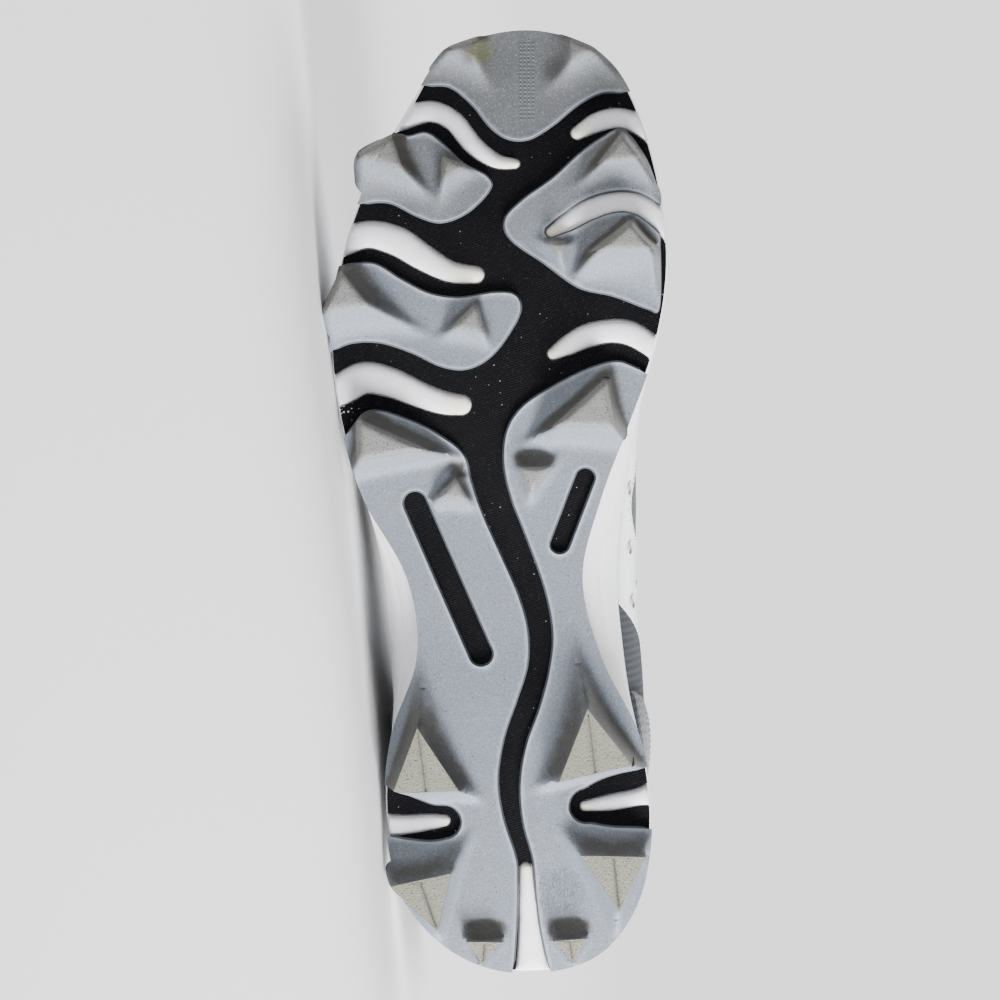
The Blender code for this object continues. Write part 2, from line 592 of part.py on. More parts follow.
def midsole(plate, rim, parts, tools):
    """The white foam: a stepped wall from the plate to the rim, and ribs through the web."""
    side = (
        # share of the height, share of the way from plate to rim, inset
        (0.0, 0.0, 1.2),
        (0.12, 0.05, 0.2),
        (0.42, 0.45, -0.3),
        (0.48, 0.54, 0.7),
        (0.56, 0.62, -0.4),
        (0.92, 1.0, 0.0),
        (1.0, 1.0, 0.9),
    )
    rings = []
    for up, across, inward in side:
        mixed = [(p[0] + (r[0] - p[0]) * across, p[1] + (r[1] - p[1]) * across) for p, r in zip(plate, rim)]
        rings.append([(x, y, FOAM_LOW + FOAM_SCALE * up) for x, y in inset(mixed, inward)])
    foam = loft("midsole", rings, parts, "white_foam")
    bound = inset(plate, 1.4)
    for rows in RIBS.values():
        rib = prism("rib", ribbon(rows, 0.0), RIB_LOW, FOAM_LOW + 1.0, tools)
        combine(rib, prism("bound", bound, -5.0, 20.0, tools), "INTERSECT")
        combine(foam, rib, "UNION")
    return bend(foam, foam_height)


def feather(at):
    """The foot of the upper at a station, and the way out from it."""
    ahead, behind = on_loop(LAST, at + 0.25), on_loop(LAST, at - 0.25)
    along = Vector((ahead[0] - behind[0], ahead[1] - behind[1])).normalized()
    x, y = on_loop(LAST, at)[:2]
    return Vector((x, y, high(x) + GAP)), Vector((-along.y, along.x, 0.0))


def wall_line(at):
    """Points up the upper at a station, from the feather edge to the top, and its length.

    The last rows lie at BAND_ROWS below the top; the rest share what is left evenly.
    """
    foot, out = feather(at)
    _, _, tx, ty, tz, rise, flare, reach, drop, _ = on_loop(LAST, at)
    top = Vector((tx, ty, tz))
    level_way = Vector((foot.x - tx, foot.y - ty, 0.0))
    level_way.normalize()
    one = foot + out * flare + UP * rise
    two = top + level_way * reach - UP * drop
    fine = []
    for k in range(41):
        t = k / 40
        u = 1 - t
        fine.append(foot * u**3 + one * 3 * u * u * t + two * 3 * u * t * t + top * t**3)
    lengths = [0.0]
    for a, b in zip(fine, fine[1:]):
        lengths.append(lengths[-1] + (b - a).length)
    plain = lengths[-1] - BAND_ROWS[0]
    goals = [plain * k / PLAIN_ROWS for k in range(PLAIN_ROWS)] + [lengths[-1] - d for d in BAND_ROWS]
    points, i = [], 0
    for goal in goals:
        while i < 39 and lengths[i + 1] < goal:
            i += 1
        share = (goal - lengths[i]) / (lengths[i + 1] - lengths[i])
        points.append(fine[i].lerp(fine[i + 1], min(share, 1.0)))
    return points, goals


def on_upper(at, from_top):
    """A point on the upper's outer face, so far down from its top edge, and the way out."""
    points, goals = wall_line(at)
    goal = goals[-1] - from_top
    i = max(k for k in range(len(goals) - 1) if goals[k] <= max(goal, 0.0))
    share = (goal - goals[i]) / (goals[i + 1] - goals[i])
    point = points[i].lerp(points[i + 1], share)
    up = (points[i + 1] - points[max(i - 1, 0)]).normalized()
    ahead, behind = wall_line(at + 0.1)[0], wall_line(at - 0.1)[0]
    round_way = (ahead[i] - behind[i]).normalized()
    return point, round_way.cross(up).normalized() * -1.0


def wall_length(at):
    return wall_line(at)[1][-1]


def upper_stations(first=0.0, last=None):
    """The stations that the upper and its overlays share, closer at the toe and heel."""
    count = len(LAST)
    stations = [float(i) for i in range(2 * count)]
    halves = [i + 0.5 for i in range(2 * count)]
    stations += [at for at in halves if any(a <= at % count <= b for a, b in CLOSE_STATIONS)]
    return [s for s in sorted(stations) if first <= s < (last or count)]


def thickness(at, share):
    """The wall at a station, so far up it, with its padding near the collar."""
    padded = max(0.0, min(1.0, (share - 0.5) / 0.3))
    return WALL + (on_loop(LAST, at)[9] - WALL) * padded * padded * (3 - 2 * padded)


def upper_rings():
    """Closed sections of the hollow upper: up its outer face, over the rim and down inside."""
    stations = upper_stations()
    lines = [wall_line(at)[0] for at in stations]
    around = len(stations)
    rows = len(lines[0]) - 1
    rings = []
    for i, (at, line) in enumerate(zip(stations, lines)):
        top_wall = thickness(at, 1.0)
        before, after = lines[i - 1], lines[(i + 1) % around]
        outs = []
        for k in range(rows + 1):
            up = (line[min(k + 1, rows)] - line[max(k - 1, 0)]).normalized()
            outs.append((after[k] - before[k]).cross(up).normalized() * -1.0)
        inner = []
        for k in range(rows, -1, -1):
            inner.append(line[k] - outs[k] * thickness(at, k / rows))
        crest = (line[rows] - line[rows - 1]).normalized()
        edge, lining = line[rows], inner[0]
        arc = ((0.18, 0.26), (0.5, 0.36), (0.82, 0.26))
        rim = [edge.lerp(lining, t) + crest * top_wall * lift for t, lift in arc]
        inner[-1].z = high(inner[-1].x) + GAP
        rings.append([*line, *rim, *inner])
    return rings


def hole_cutter(point, out, radius, tools):
    """A short round cutter across the wall."""
    bpy.ops.mesh.primitive_cylinder_add(vertices=8, radius=radius * MM, depth=14 * MM)
    tool = bpy.context.object
    tool.matrix_world = Matrix.Translation(point * MM) @ out.to_track_quat("Z", "Y").to_matrix().to_4x4()
    bpy.context.view_layer.update()
    tool.data.transform(tool.matrix_world)
    tool.matrix_world = Matrix.Identity(4)
    return tool


def station_where(top_x, between):
    """The station of one side at which the throat's edge has this x."""
    start, end = between
    rising = on_loop(LAST, end)[2] > on_loop(LAST, start)[2]
    for _ in range(40):
        middle = (start + end) / 2
        if (on_loop(LAST, middle)[2] < top_x) == rising:
            start = middle
        else:
            end = middle
    return (start + end) / 2


def eyelet_stations():
    """Lateral and medial stations of each eyelet pair, from the toe up."""
    return [(station_where(x, LATERAL_THROAT), station_where(x, MEDIAL_THROAT)) for x in EYELET_X]


def vent_places():
    """The vent holes, on both sides, by x along the feather edge and height up the wall."""
    places = []
    for start, end in ((5, 11), (23, 28)):
        for x, up in VENTS:
            stations = [start + (end - start) * k / 60 for k in range(61)]
            at = min(stations, key=lambda s: abs(on_loop(LAST, s)[0] - x))
            places.append(on_upper(at, wall_length(at) - up))
    return places


def overlay(name, stations, downs, lift, where, finish):
    """A layer cut from the upper's own face, with each station's depths below the top edge."""
    rings = []
    for at, depths in zip(stations, downs):
        faces = [on_upper(at, down) for down in depths]
        inside = [p + n * lift for p, n in faces]
        outside = [p + n * (lift + OVERLAY_THICKNESS) for p, n in faces]
        rings.append([*inside, *outside[::-1]])
    return loft(name, rings, where, finish)


def eyestay(parts, tools):
    """The band round the throat, with its eyelet holes."""
    stations = upper_stations(MEDIAL_THROAT[0], len(LAST) + LATERAL_THROAT[1])
    downs = [(*BAND_ROWS[:-1], EYESTAY_EDGE)] * len(stations)
    return cut_eyelets(overlay("eyestay", stations, downs, OVERLAY_LIFT, parts, "black_synthetic"), tools)


def panel(name, first, last, tall, lift, where, finish):
    """A panel that stands on the feather edge, tallest half way along it."""
    stations = upper_stations(first, last + 0.1)
    downs = []
    for at in stations:
        length = wall_length(at)
        height = 3.0 + tall * max(math.sin(math.pi * (at - first) / (last - first)), 0.0) ** 0.55
        downs.append([length - 1.0 - (height - 1.0) * k / 4 for k in range(5)])
    return overlay(name, stations, downs, lift, where, finish)


def cut_eyelets(obj, tools):
    for pair in eyelet_stations():
        for at in pair:
            point, out = on_upper(at, EYELET_INSET)
            combine(obj, hole_cutter(point, out, EYELET_RADIUS, tools), "DIFFERENCE")
    return obj


def upper(parts, tools):
    shell = loft("upper", upper_rings(), parts, "white_leather", ring_of_rings=True)
    cut_eyelets(shell, tools)
    for point, out in vent_places():
        combine(shell, hole_cutter(point, out, VENT_RADIUS, tools), "DIFFERENCE")
    return shell


def tongue(parts):
    """A padded tongue under the throat, from the vamp to its free end over the instep."""
    hidden = (
        # x, underlap, gap
        (203.0, 11.0, 1.1),
        (192.0, 11.0, 1.1),
        (180.0, 11.0, 1.1),
        (167.0, 11.0, 1.1),
        (154.0, 10.0, 1.4),
        (142.0, 6.0, 3.0),
    )
    free = (
        # centre x, y, z, half width, crown, side drop
        (126.0, 0.0, 111.0, 13.0, 2.5, 3.0),
        (115.0, 0.0, 119.0, 19.5, 4.0, 5.0),
        (104.0, 0.0, 128.0, 21.5, 5.0, 6.0),
        (98.0, 0.0, 133.0, 18.0, 4.0, 4.0),
    )
    rings = []
    for x, underlap, gap in hidden:
        sides = []
        for between in (LATERAL_THROAT, MEDIAL_THROAT):
            at = station_where(x, between)
            under, under_out = on_upper(at, underlap)
            edge, edge_out = on_upper(at, 0.0)
            depth = thickness(at, 1.0) + gap
            sides.append((under - under_out * depth, edge - edge_out * depth))
        (low_l, edge_l), (low_m, edge_m) = sides
        middle = (edge_l + edge_m) / 2 + UP * TONGUE_CROWN
        rings.append(section([low_l, edge_l, middle, edge_m, low_m]))
    for x, y, z, half, crown, side in free:
        lean = Vector((0.62, 0.0, 0.78))
        centre = Vector((x, y, z))
        wide = Vector((0.0, 1.0, 0.0))
        rings.append(section([
            centre - wide * half - lean * side,
            centre - wide * half * 0.62 - lean * side * 0.3,
            centre + lean * crown * 0.25,
            centre + wide * half * 0.62 - lean * side * 0.3,
            centre + wide * half - lean * side,
        ]))
    return loft("tongue", rings, parts, "black_textile")


def section(across):
    """A padded section below a line of points, thin at its two edges."""
    line = [Vector(p) for p in smooth_line([tuple(p) for p in across], 2)]
    count = len(line) - 1
    inner = []
    for i, point in enumerate(line):
        way = (line[min(i + 1, count)] - line[max(i - 1, 0)]).normalized()
        down = way.cross(Vector((0.62, 0.0, 0.78))).cross(way).normalized() * -1.0
        depth = TONGUE_THICKNESS * (0.35 + 0.65 * math.sin(math.pi * i / count) ** 0.6)
        inner.append(point + down * depth)
    return [*line, *inner[::-1]]


def insole(parts):
    outline = inset([feather(at)[0].xy for at in upper_stations()], WALL + INSOLE_CLEARANCE)
    rings = [
        [(x, y, z) for x, y in inset(outline, inward)]
        for inward, z in ((0.0, 0.0), (0.0, INSOLE_THICKNESS - 0.8), (0.8, INSOLE_THICKNESS))
    ]
    return bend(loft("insole", rings, parts, "black_textile"), lambda x, z: high(x) + GAP + z)


def strap(name, path, outs, where, finish):
    """A flat lace along a path, its flat side towards the way out at each point."""
    rings = []
    for i, (point, out) in enumerate(zip(path, outs)):
        along = (path[min(i + 1, len(path) - 1)] - path[max(i - 1, 0)]).normalized()
        side = along.cross(out).normalized() * LACE_WIDTH / 2
        up = side.cross(along).normalized() * LACE_THICKNESS / 2
        rings.append([point + side + up, point + side - up, point - side - up, point - side + up])
    return loft(name, rings, where, finish)


def tucked_end(edge, towards):
    """Where a lace passes below a throat edge: just inside it, beside the tongue."""
    point, out = on_upper(edge, 0.0)
    inward = (towards - point).normalized()
    return point + inward * LACE_TUCK, out


def lace_path(start, end, crown):
    """From an eyelet over its throat edge, across the tongue, to just inside the other edge."""
    clear = OVERLAY_LIFT + OVERLAY_THICKNESS + 2 * GAP + LACE_THICKNESS / 2
    path, outs = [], []
    for down in (EYELET_INSET, 3.6, 0.0):
        point, out = on_upper(start, down)
        path.append(point + out * clear)
        outs.append(out)
    far, far_out = tucked_end(end, path[-1])
    path.append((path[-1] + far) / 2 + UP * crown)
    outs.append((outs[-1] + far_out).normalized())
    return [*path, far], [*outs, far_out]


def laces(parts, tools):
    """A bar across the tongue at the vamp, then a crossing between each two pairs of eyelets."""
    pairs = eyelet_stations()
    lateral, medial = (on_upper(at, 0.0)[0] for at in pairs[0])
    ends = [tucked_end(pairs[0][0], medial), tucked_end(pairs[0][1], lateral)]
    path = [point - UP * BAR_DROP for point, _ in ends]
    strap("lace_bar", path, [out for _, out in ends], parts, "white_lace")
    for i, ((lateral, medial), (next_lateral, next_medial)) in enumerate(zip(pairs, pairs[1:]), 1):
        one = strap(f"lace_cross_{i}", *lace_path(lateral, next_medial, 2.2), parts, "white_lace")
        two = strap("strap", *lace_path(medial, next_lateral, 3.0), tools, "white_lace")
        combine(one, two, "UNION")


def side_rest(parts):
    """The plane under the lateral side that carries the shoe: its outward way and a point on it."""
    hull = bmesh.new()
    weight, centre = 0.0, Vector()
    for obj in parts:
        bm = bmesh.new()
        bm.from_mesh(obj.data)
        density = FINISHES[obj.data.materials[0].name][2]
        for face in bmesh.ops.triangulate(bm, faces=bm.faces)["faces"]:
            a, b, c = (v.co for v in face.verts)
            share = a.cross(b).dot(c) / 6 * density
            weight += share
            centre += (a + b + c) / 4 * share
        for vert in bm.verts:
            hull.verts.new(vert.co)
        bm.free()
    centre /= weight
    bmesh.ops.convex_hull(hull, input=hull.verts)
    best = None
    for face in hull.faces:
        normal = face.normal
        foot = centre + normal * (face.verts[0].co - centre).dot(normal)
        corners = [v.co for v in face.verts]
        inside = all(
            (b - a).cross(foot - a).dot(normal) > 0 for a, b in zip(corners, corners[1:] + corners[:1])
        )
        if inside and (best is None or normal.y < best[0].y):
            best = (normal.copy(), corners[0].copy())
    hull.free()
    return best


def lay_down(parts, root):
    """Turns the shoe so that its side plane is the floor and centres it over the origin."""
    normal, _ = side_rest(parts)
    up = -normal
    along = Vector((1.0, 0.0, 0.0))
    along = (along - up * along.dot(up)).normalized()
    turn = Matrix((along, up.cross(along), up))
    points = [turn @ v.co for obj in parts for v in obj.data.vertices]
    lows = [min(p[k] for p in points) for k in range(3)]
    highs = [max(p[k] for p in points) for k in range(3)]
    shift = Vector((-(lows[0] + highs[0]) / 2, -(lows[1] + highs[1]) / 2, -lows[2]))
    root.matrix_world = Matrix.Translation(shift) @ turn.to_4x4()
    for obj in parts:
        obj.parent = root
    bpy.context.view_layer.update()


def main():
    clear_scene()
    parts = collection("baseball_cleat")
    tools = collection("cutters")
    plate, rim = sole_loops()
    for name in PODS:
        outsole_pod(name, plate, parts, tools)
    outsole_web(plate, parts, tools)
    midsole(plate, rim, parts, tools)
    upper(parts, tools)
    panel("heel_counter", 10.0, 22.0, 34.0, COUNTER_LIFT, parts, "grey_synthetic")
    panel("toe_guard", 30.0, 35.0, 13.0, OVERLAY_LIFT, parts, "grey_synthetic")
    eyestay(parts, tools)
    tongue(parts)
    insole(parts)
    laces(parts, tools)
    root = bpy.data.objects.new("shoe", None)
    bpy.context.scene.collection.objects.link(root)
    lay_down(list(parts.objects), root)
    return root


if __name__ == "__main__":
    main()
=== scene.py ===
import json
import logging
import math
from dataclasses import dataclass
from enum import Enum

import bmesh
import bpy
import numpy as np
from mathutils import Matrix, Vector
from mathutils.geometry import delaunay_2d_cdt


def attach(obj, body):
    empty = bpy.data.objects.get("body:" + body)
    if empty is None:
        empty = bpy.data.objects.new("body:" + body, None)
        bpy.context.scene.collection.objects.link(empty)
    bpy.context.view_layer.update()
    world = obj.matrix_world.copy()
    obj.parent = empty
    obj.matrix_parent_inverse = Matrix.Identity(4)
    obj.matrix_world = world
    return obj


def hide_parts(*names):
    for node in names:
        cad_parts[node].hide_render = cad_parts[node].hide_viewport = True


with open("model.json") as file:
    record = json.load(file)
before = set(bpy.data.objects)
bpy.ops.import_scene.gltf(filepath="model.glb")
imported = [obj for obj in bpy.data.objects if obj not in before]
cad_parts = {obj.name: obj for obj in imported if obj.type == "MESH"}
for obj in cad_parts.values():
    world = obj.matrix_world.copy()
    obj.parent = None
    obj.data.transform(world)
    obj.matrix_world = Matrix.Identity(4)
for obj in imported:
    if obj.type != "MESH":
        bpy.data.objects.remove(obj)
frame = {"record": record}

# The visual model of a low baseball cleat for the right foot, lying on its lateral side.
# Sizes are in millimetres of the standing shoe: +X heel to toe, +Y medial, ground at Z = 0.

LOG = logging.getLogger("baseball_cleat")
MM = 0.001
TINY = 1e-9
BODY = "root"
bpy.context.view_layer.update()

GAP = 0.3
POD_THICKNESS = 1.5
WEB_LOW = 1.8
WEB_THICKNESS = 1.2
FOAM_LOW = 3.3
RIB_LOW = 0.6
WALL = 2.0
OVERLAY_LIFT = 0.4
COUNTER_LIFT = 0.8
OVERLAY_THICKNESS = 1.0
EYELET_INSET = 8.0
EYELET_RADIUS = 2.2
EYELET_X = (198.5, 187.0, 175.5, 164.0, 152.5, 141.0)
VENTS = ((153.0, 6.5), (134.6, 11.0), (115.5, 12.7), (120.0, 24.0))
VENT_RADIUS = 2.0
STATION_SPAN = 8.6
HEEL_STATION = 16.0
CREST_PROBE = 1.5
LATERAL_THROAT = (1.0, 9.0)
MEDIAL_THROAT = (24.0, 32.0)

# x, height of the plate's tread face, height of the foam's top.
LEVELS = np.array((
    (-25.0, 16.0, 37.5), (0.0, 12.6, 36.0), (20.0, 11.0, 35.0), (50.0, 10.5, 33.5), (80.0, 11.4, 31.5),
    (110.0, 13.6, 29.5), (140.0, 13.8, 27.5), (170.0, 11.8, 25.6), (200.0, 10.8, 24.6), (230.0, 11.9, 25.6),
    (255.0, 15.0, 28.6), (280.0, 20.4, 33.4), (300.0, 26.0, 38.0), (325.0, 33.0, 44.0),
))

# Plate x, plate y, rim x, rim y, from the toe round the lateral side.
SOLE = (
    (299.2, -7.0, 298.2, -6.5), (291.5, -24.5, 290.5, -23.5), (275.0, -35.0, 275.0, -35.3),
    (250.0, -48.7, 250.0, -47.6), (225.0, -56.8, 225.0, -54.0), (200.0, -59.8, 200.0, -56.0),
    (175.0, -56.9, 175.0, -53.4), (150.0, -49.3, 150.0, -48.2), (125.0, -35.6, 125.0, -43.2),
    (100.0, -32.4, 100.0, -40.6), (75.0, -40.6, 75.0, -40.0), (50.0, -42.4, 50.0, -39.6),
    (25.0, -37.4, 25.0, -34.6), (8.5, -23.7, 9.3, -22.2), (0.6, -6.5, 1.4, -6.0), (0.8, 13.0, 1.6, 12.0),
    (8.0, 28.2, 9.0, 26.4), (25.0, 38.8, 25.0, 36.4), (50.0, 42.2, 50.0, 39.6), (75.0, 38.3, 75.0, 37.4),
    (100.0, 26.2, 100.0, 33.7), (125.0, 20.2, 125.0, 31.5), (150.0, 26.0, 150.0, 33.3),
    (175.0, 35.3, 175.0, 37.6), (200.0, 44.0, 200.0, 42.4), (225.0, 47.5, 225.0, 44.9),
    (250.0, 44.9, 250.0, 43.2), (275.0, 37.8, 275.0, 36.6), (291.0, 28.0, 290.0, 27.0),
    (299.2, 11.0, 298.2, 11.0),
)

# Foot x, foot y, top x, top y, top z, rise, flare, reach, drop, wall at the top.
LAST = (
    (297.5, 4.0, 208.5, -2.5, 79.0, 20.0, 4.0, 48.0, 12.0, 2.2),
    (290.0, -22.0, 208.0, -7.0, 79.2, 20.0, 4.0, 46.0, 11.0, 2.2),
    (275.0, -33.6, 205.5, -12.0, 80.0, 20.0, 3.0, 40.0, 9.0, 2.2),
    (255.0, -44.0, 200.0, -15.0, 81.6, 20.0, 3.0, 32.0, 8.0, 2.2),
    (232.0, -51.8, 192.0, -16.5, 84.3, 22.0, 2.5, 26.0, 7.0, 2.2),
    (205.0, -55.2, 180.0, -17.0, 88.5, 24.0, 1.5, 22.0, 7.0, 2.2),
    (178.0, -53.0, 166.0, -17.5, 93.6, 26.0, 1.0, 19.0, 8.0, 2.2),
    (152.0, -47.6, 150.0, -18.0, 99.5, 28.0, 1.0, 17.0, 10.0, 2.2),
    (128.0, -42.6, 134.0, -19.5, 105.0, 28.0, 2.5, 14.0, 13.0, 2.6),
    (104.0, -39.8, 118.0, -26.5, 102.5, 28.0, 3.5, 6.0, 18.0, 4.5),
    (82.0, -39.0, 98.0, -34.8, 92.5, 24.0, 2.0, 2.0, 20.0, 6.5),
    (60.0, -38.8, 76.0, -38.6, 87.0, 20.0, -1.0, 1.0, 18.0, 7.0),
    (42.0, -38.0, 56.0, -38.2, 88.0, 20.0, -1.5, 0.5, 18.0, 7.0),
    (26.5, -34.0, 38.0, -33.6, 93.0, 20.0, -0.5, 0.0, 20.0, 7.0),
    (13.5, -24.6, 23.0, -24.5, 99.0, 22.0, 1.5, 0.0, 22.0, 6.8),
    (5.5, -12.0, 13.0, -12.5, 103.5, 22.0, 3.0, 0.5, 24.0, 6.5),
    (2.8, 3.0, 9.5, 0.5, 105.0, 22.0, 3.5, 1.0, 25.0, 6.5),
    (6.0, 18.0, 13.0, 13.0, 103.5, 22.0, 3.0, 0.5, 24.0, 6.5),
    (15.5, 29.0, 23.0, 24.0, 99.5, 22.0, 1.5, 0.0, 22.0, 6.8),
    (29.5, 36.0, 38.0, 31.8, 94.0, 20.0, 0.5, 0.0, 20.0, 7.0),
    (47.0, 38.3, 56.0, 35.4, 90.5, 20.0, 2.0, 0.5, 18.0, 7.0),
    (68.0, 37.3, 76.0, 35.8, 90.8, 20.0, 9.0, 3.0, 18.0, 7.0),
    (88.0, 34.6, 98.0, 32.2, 96.0, 22.0, 14.5, 6.0, 20.0, 6.5),
    (106.0, 32.0, 117.0, 25.5, 104.8, 22.0, 18.0, 9.0, 18.0, 4.5),
    (124.0, 30.6, 133.0, 19.5, 107.0, 24.0, 18.5, 14.0, 13.0, 2.6),
    (146.0, 32.0, 149.0, 17.5, 101.0, 24.0, 14.5, 17.0, 10.0, 2.2),
    (170.0, 35.7, 165.5, 16.0, 94.6, 24.0, 8.0, 18.0, 8.0, 2.2),
    (195.0, 40.4, 180.0, 14.5, 89.0, 22.0, 4.0, 19.0, 7.0, 2.2),
    (222.0, 43.7, 193.0, 13.0, 84.3, 20.0, 2.0, 22.0, 7.0, 2.2),
    (247.0, 42.0, 201.0, 11.0, 81.6, 18.0, 2.0, 28.0, 8.0, 2.2),
    (270.0, 36.5, 205.8, 7.5, 80.0, 18.0, 3.0, 38.0, 9.0, 2.2),
    (288.0, 26.0, 208.0, 2.5, 79.2, 19.0, 4.0, 45.0, 11.0, 2.2),
)

# White foam ribs: centre line and half width, from the sole's edge inwards.
RIBS = {
    "lateral_front": ((268.0, -46.0, 3.0), (271.5, -36.5, 3.4), (273.7, -28.0, 3.3), (270.5, -20.8, 3.1),
                      (262.8, -14.5, 2.9), (257.7, -7.5, 2.3), (256.7, -1.3, 1.6)),
    "lateral_mid": ((227.0, -64.0, 3.6), (231.5, -55.5, 4.0), (234.0, -47.5, 4.3), (231.8, -38.5, 4.6),
                    (226.8, -30.5, 4.1), (222.3, -22.0, 3.3), (221.2, -13.6, 2.6)),
    "lateral_rear": ((181.0, -64.0, 4.0), (185.0, -56.0, 4.8), (188.5, -49.0, 4.9), (187.0, -40.5, 4.5),
                     (183.0, -31.0, 3.9), (180.6, -24.0, 3.6), (179.9, -18.3, 3.2)),
    "medial_front": ((263.0, 46.0, 3.0), (268.8, 39.5, 3.2), (271.6, 32.0, 3.1), (270.2, 25.0, 3.0),
                     (266.6, 18.6, 2.0)),
    "medial_mid": ((231.0, 51.0, 3.0), (238.5, 45.0, 3.4), (243.6, 38.0, 3.6), (244.4, 30.5, 3.5),
                   (242.0, 22.5, 3.6), (238.2, 15.8, 3.2), (234.8, 10.2, 2.0)),
    "medial_rear": ((193.0, 48.0, 3.0), (198.5, 42.0, 3.4), (202.5, 35.5, 3.8), (203.3, 29.0, 3.6),
                    (201.8, 21.5, 3.5), (198.8, 15.5, 2.9), (196.2, 10.9, 1.8)),
    "heel_lateral": ((46.6, -46.0, 3.7), (47.0, -36.0, 2.9), (47.8, -28.0, 2.4), (48.2, -23.6, 1.8)),
    "heel_medial": ((57.6, 46.0, 4.6), (55.7, 38.0, 2.7), (54.0, 29.0, 2.4), (52.9, 21.0, 1.5)),
    "heel_back": ((-4.0, 4.6, 5.6), (12.0, 3.5, 3.4), (24.0, 2.8, 2.6), (33.0, 2.2, 1.9)),
}

# The inner edge of each rubber pod, then corners outside the sole that close it.
PODS = {
    "outsole_toe": (
        ((281.3, -34.0), (282.4, -28.0), (281.8, -21.5), (276.0, -14.5), (269.0, -9.0), (265.2, -3.5),
         (265.0, 3.0), (269.4, 10.5), (276.0, 18.5), (279.8, 26.0), (280.2, 34.0), (279.0, 41.0)),
        ((320.0, 45.0), (320.0, -45.0))),
    "outsole_lateral_front": (
        ((241.5, -58.0), (244.4, -48.0), (244.4, -40.5), (240.2, -32.0), (238.3, -24.5), (241.6, -16.3),
         (248.5, -9.6), (252.2, -10.2), (256.6, -18.0), (262.6, -24.2), (266.3, -29.5), (265.2, -35.5),
         (267.2, -41.0), (268.0, -47.0)),
        ((264.0, -64.0), (246.0, -68.0))),
    "outsole_lateral_mid": (
        ((223.6, -62.0), (224.2, -53.0), (224.2, -45.5), (219.2, -37.0), (214.8, -28.0), (213.6, -18.5),
         (215.2, -8.0), (214.6, -1.5), (210.2, 0.2), (203.0, -3.3), (195.6, -9.2), (191.8, -16.5),
         (192.6, -24.5), (197.0, -34.0), (200.2, -44.5), (199.6, -54.5), (195.0, -62.0)),
        ((198.0, -72.0), (220.0, -72.0))),
    "outsole_medial_front": (
        ((246.0, 45.2), (252.0, 42.8), (260.0, 39.0), (267.2, 33.0), (265.0, 27.0), (259.2, 19.0),
         (251.8, 11.0), (244.8, 1.4), (238.6, -4.2), (232.6, -2.2), (225.4, 8.0), (217.6, 19.0),
         (214.9, 30.0), (210.8, 41.0), (210.5, 44.2), (222.0, 44.5), (236.0, 44.3)),
        ()),
    "outsole_lateral_rear": (
        ((165.0, -62.0), (171.5, -53.5), (176.8, -49.0), (177.6, -43.5), (174.0, -33.0), (169.2, -24.0),
         (164.0, -17.8), (156.0, -15.6), (146.0, -12.2), (132.5, -6.2), (120.0, -0.7), (109.0, 2.3),
         (98.0, 2.4), (87.0, -0.9), (75.0, -5.0), (62.0, -7.0), (50.0, -5.5), (37.0, -1.4),
         (30.0, -0.9), (16.0, -1.1), (-6.0, -2.6)),
        ((-20.0, -60.0), (120.0, -70.0))),
    "outsole_medial_rear": (
        ((187.0, 46.0), (191.6, 36.5), (193.3, 30.5), (190.8, 21.5), (185.8, 11.5), (179.6, 1.8),
         (172.0, -3.4), (162.0, -4.5), (151.0, -2.2), (138.0, 2.8), (122.0, 8.5), (108.0, 11.1),
         (96.0, 10.0), (84.0, 6.9), (72.0, 2.6), (60.0, 0.7), (48.0, 1.6), (36.0, 4.8),
         (24.0, 5.9), (12.0, 7.6), (-6.0, 11.6)),
        ((-20.0, 60.0), (120.0, 70.0))),
}

# Openings through the rear pods: centre line and half width.
WINDOWS = {
    "outsole_lateral_rear": (
        ((55.5, -50.0, 6.5), (50.5, -39.0, 7.4), (47.8, -29.0, 6.4), (47.9, -23.7, 5.8)),
        ((149.0, -33.0, 4.2), (125.0, -22.5, 4.2), (101.0, -12.0, 4.2))),
    "outsole_medial_rear": (
        ((55.6, 50.0, 10.4), (55.3, 38.0, 9.6), (54.2, 28.5, 8.3), (53.0, 21.5, 6.0)),
        ((136.0, 13.0, 3.6), (146.5, 17.0, 3.6), (157.0, 21.0, 3.6))),
}

Array = np.ndarray
Colour = tuple[float, float, float, float]
Path = tuple[Array, Array]
Socket = bpy.types.NodeSocket
Finish = bpy.types.Material
Piece = bpy.types.Object
Tree = bpy.types.NodeTree


# ---------------------------------------------------------------- curves and heights
def catmull(rows: Array, at: Array, closed: bool) -> Array:
    """Rows at whole or part positions on a smooth curve through them.

    Args:
        rows: the table, one row a point.
        at: positions counted in rows.
        closed: whether the last row runs on to the first.

    Returns:
        One row for each position.
    """
    rows = np.asarray(rows, float)
    at = np.atleast_1d(np.asarray(at, float))
    first = np.floor(at).astype(int)
    if not closed:
        first = np.clip(first, 0, len(rows) - 2)
    t = (at - first)[:, None]
    if closed:
        p, q, r, s = (rows[(first + k) % len(rows)] for k in (-1, 0, 1, 2))
    else:
        p, q, r, s = (rows[np.clip(first + k, 0, len(rows) - 1)] for k in (-1, 0, 1, 2))
    return 0.5 * (2 * q + (r - p) * t + (2 * p - 5 * q + 4 * r - s) * t**2 + (3 * q - p - 3 * r + s) * t**3)


def smooth_open(rows: tuple, per_span: int) -> Array:
    """A smooth open curve through rows, with so many steps to a span."""
    spans = len(rows) - 1
    return catmull(rows, np.linspace(0, spans, spans * per_span + 1), False)


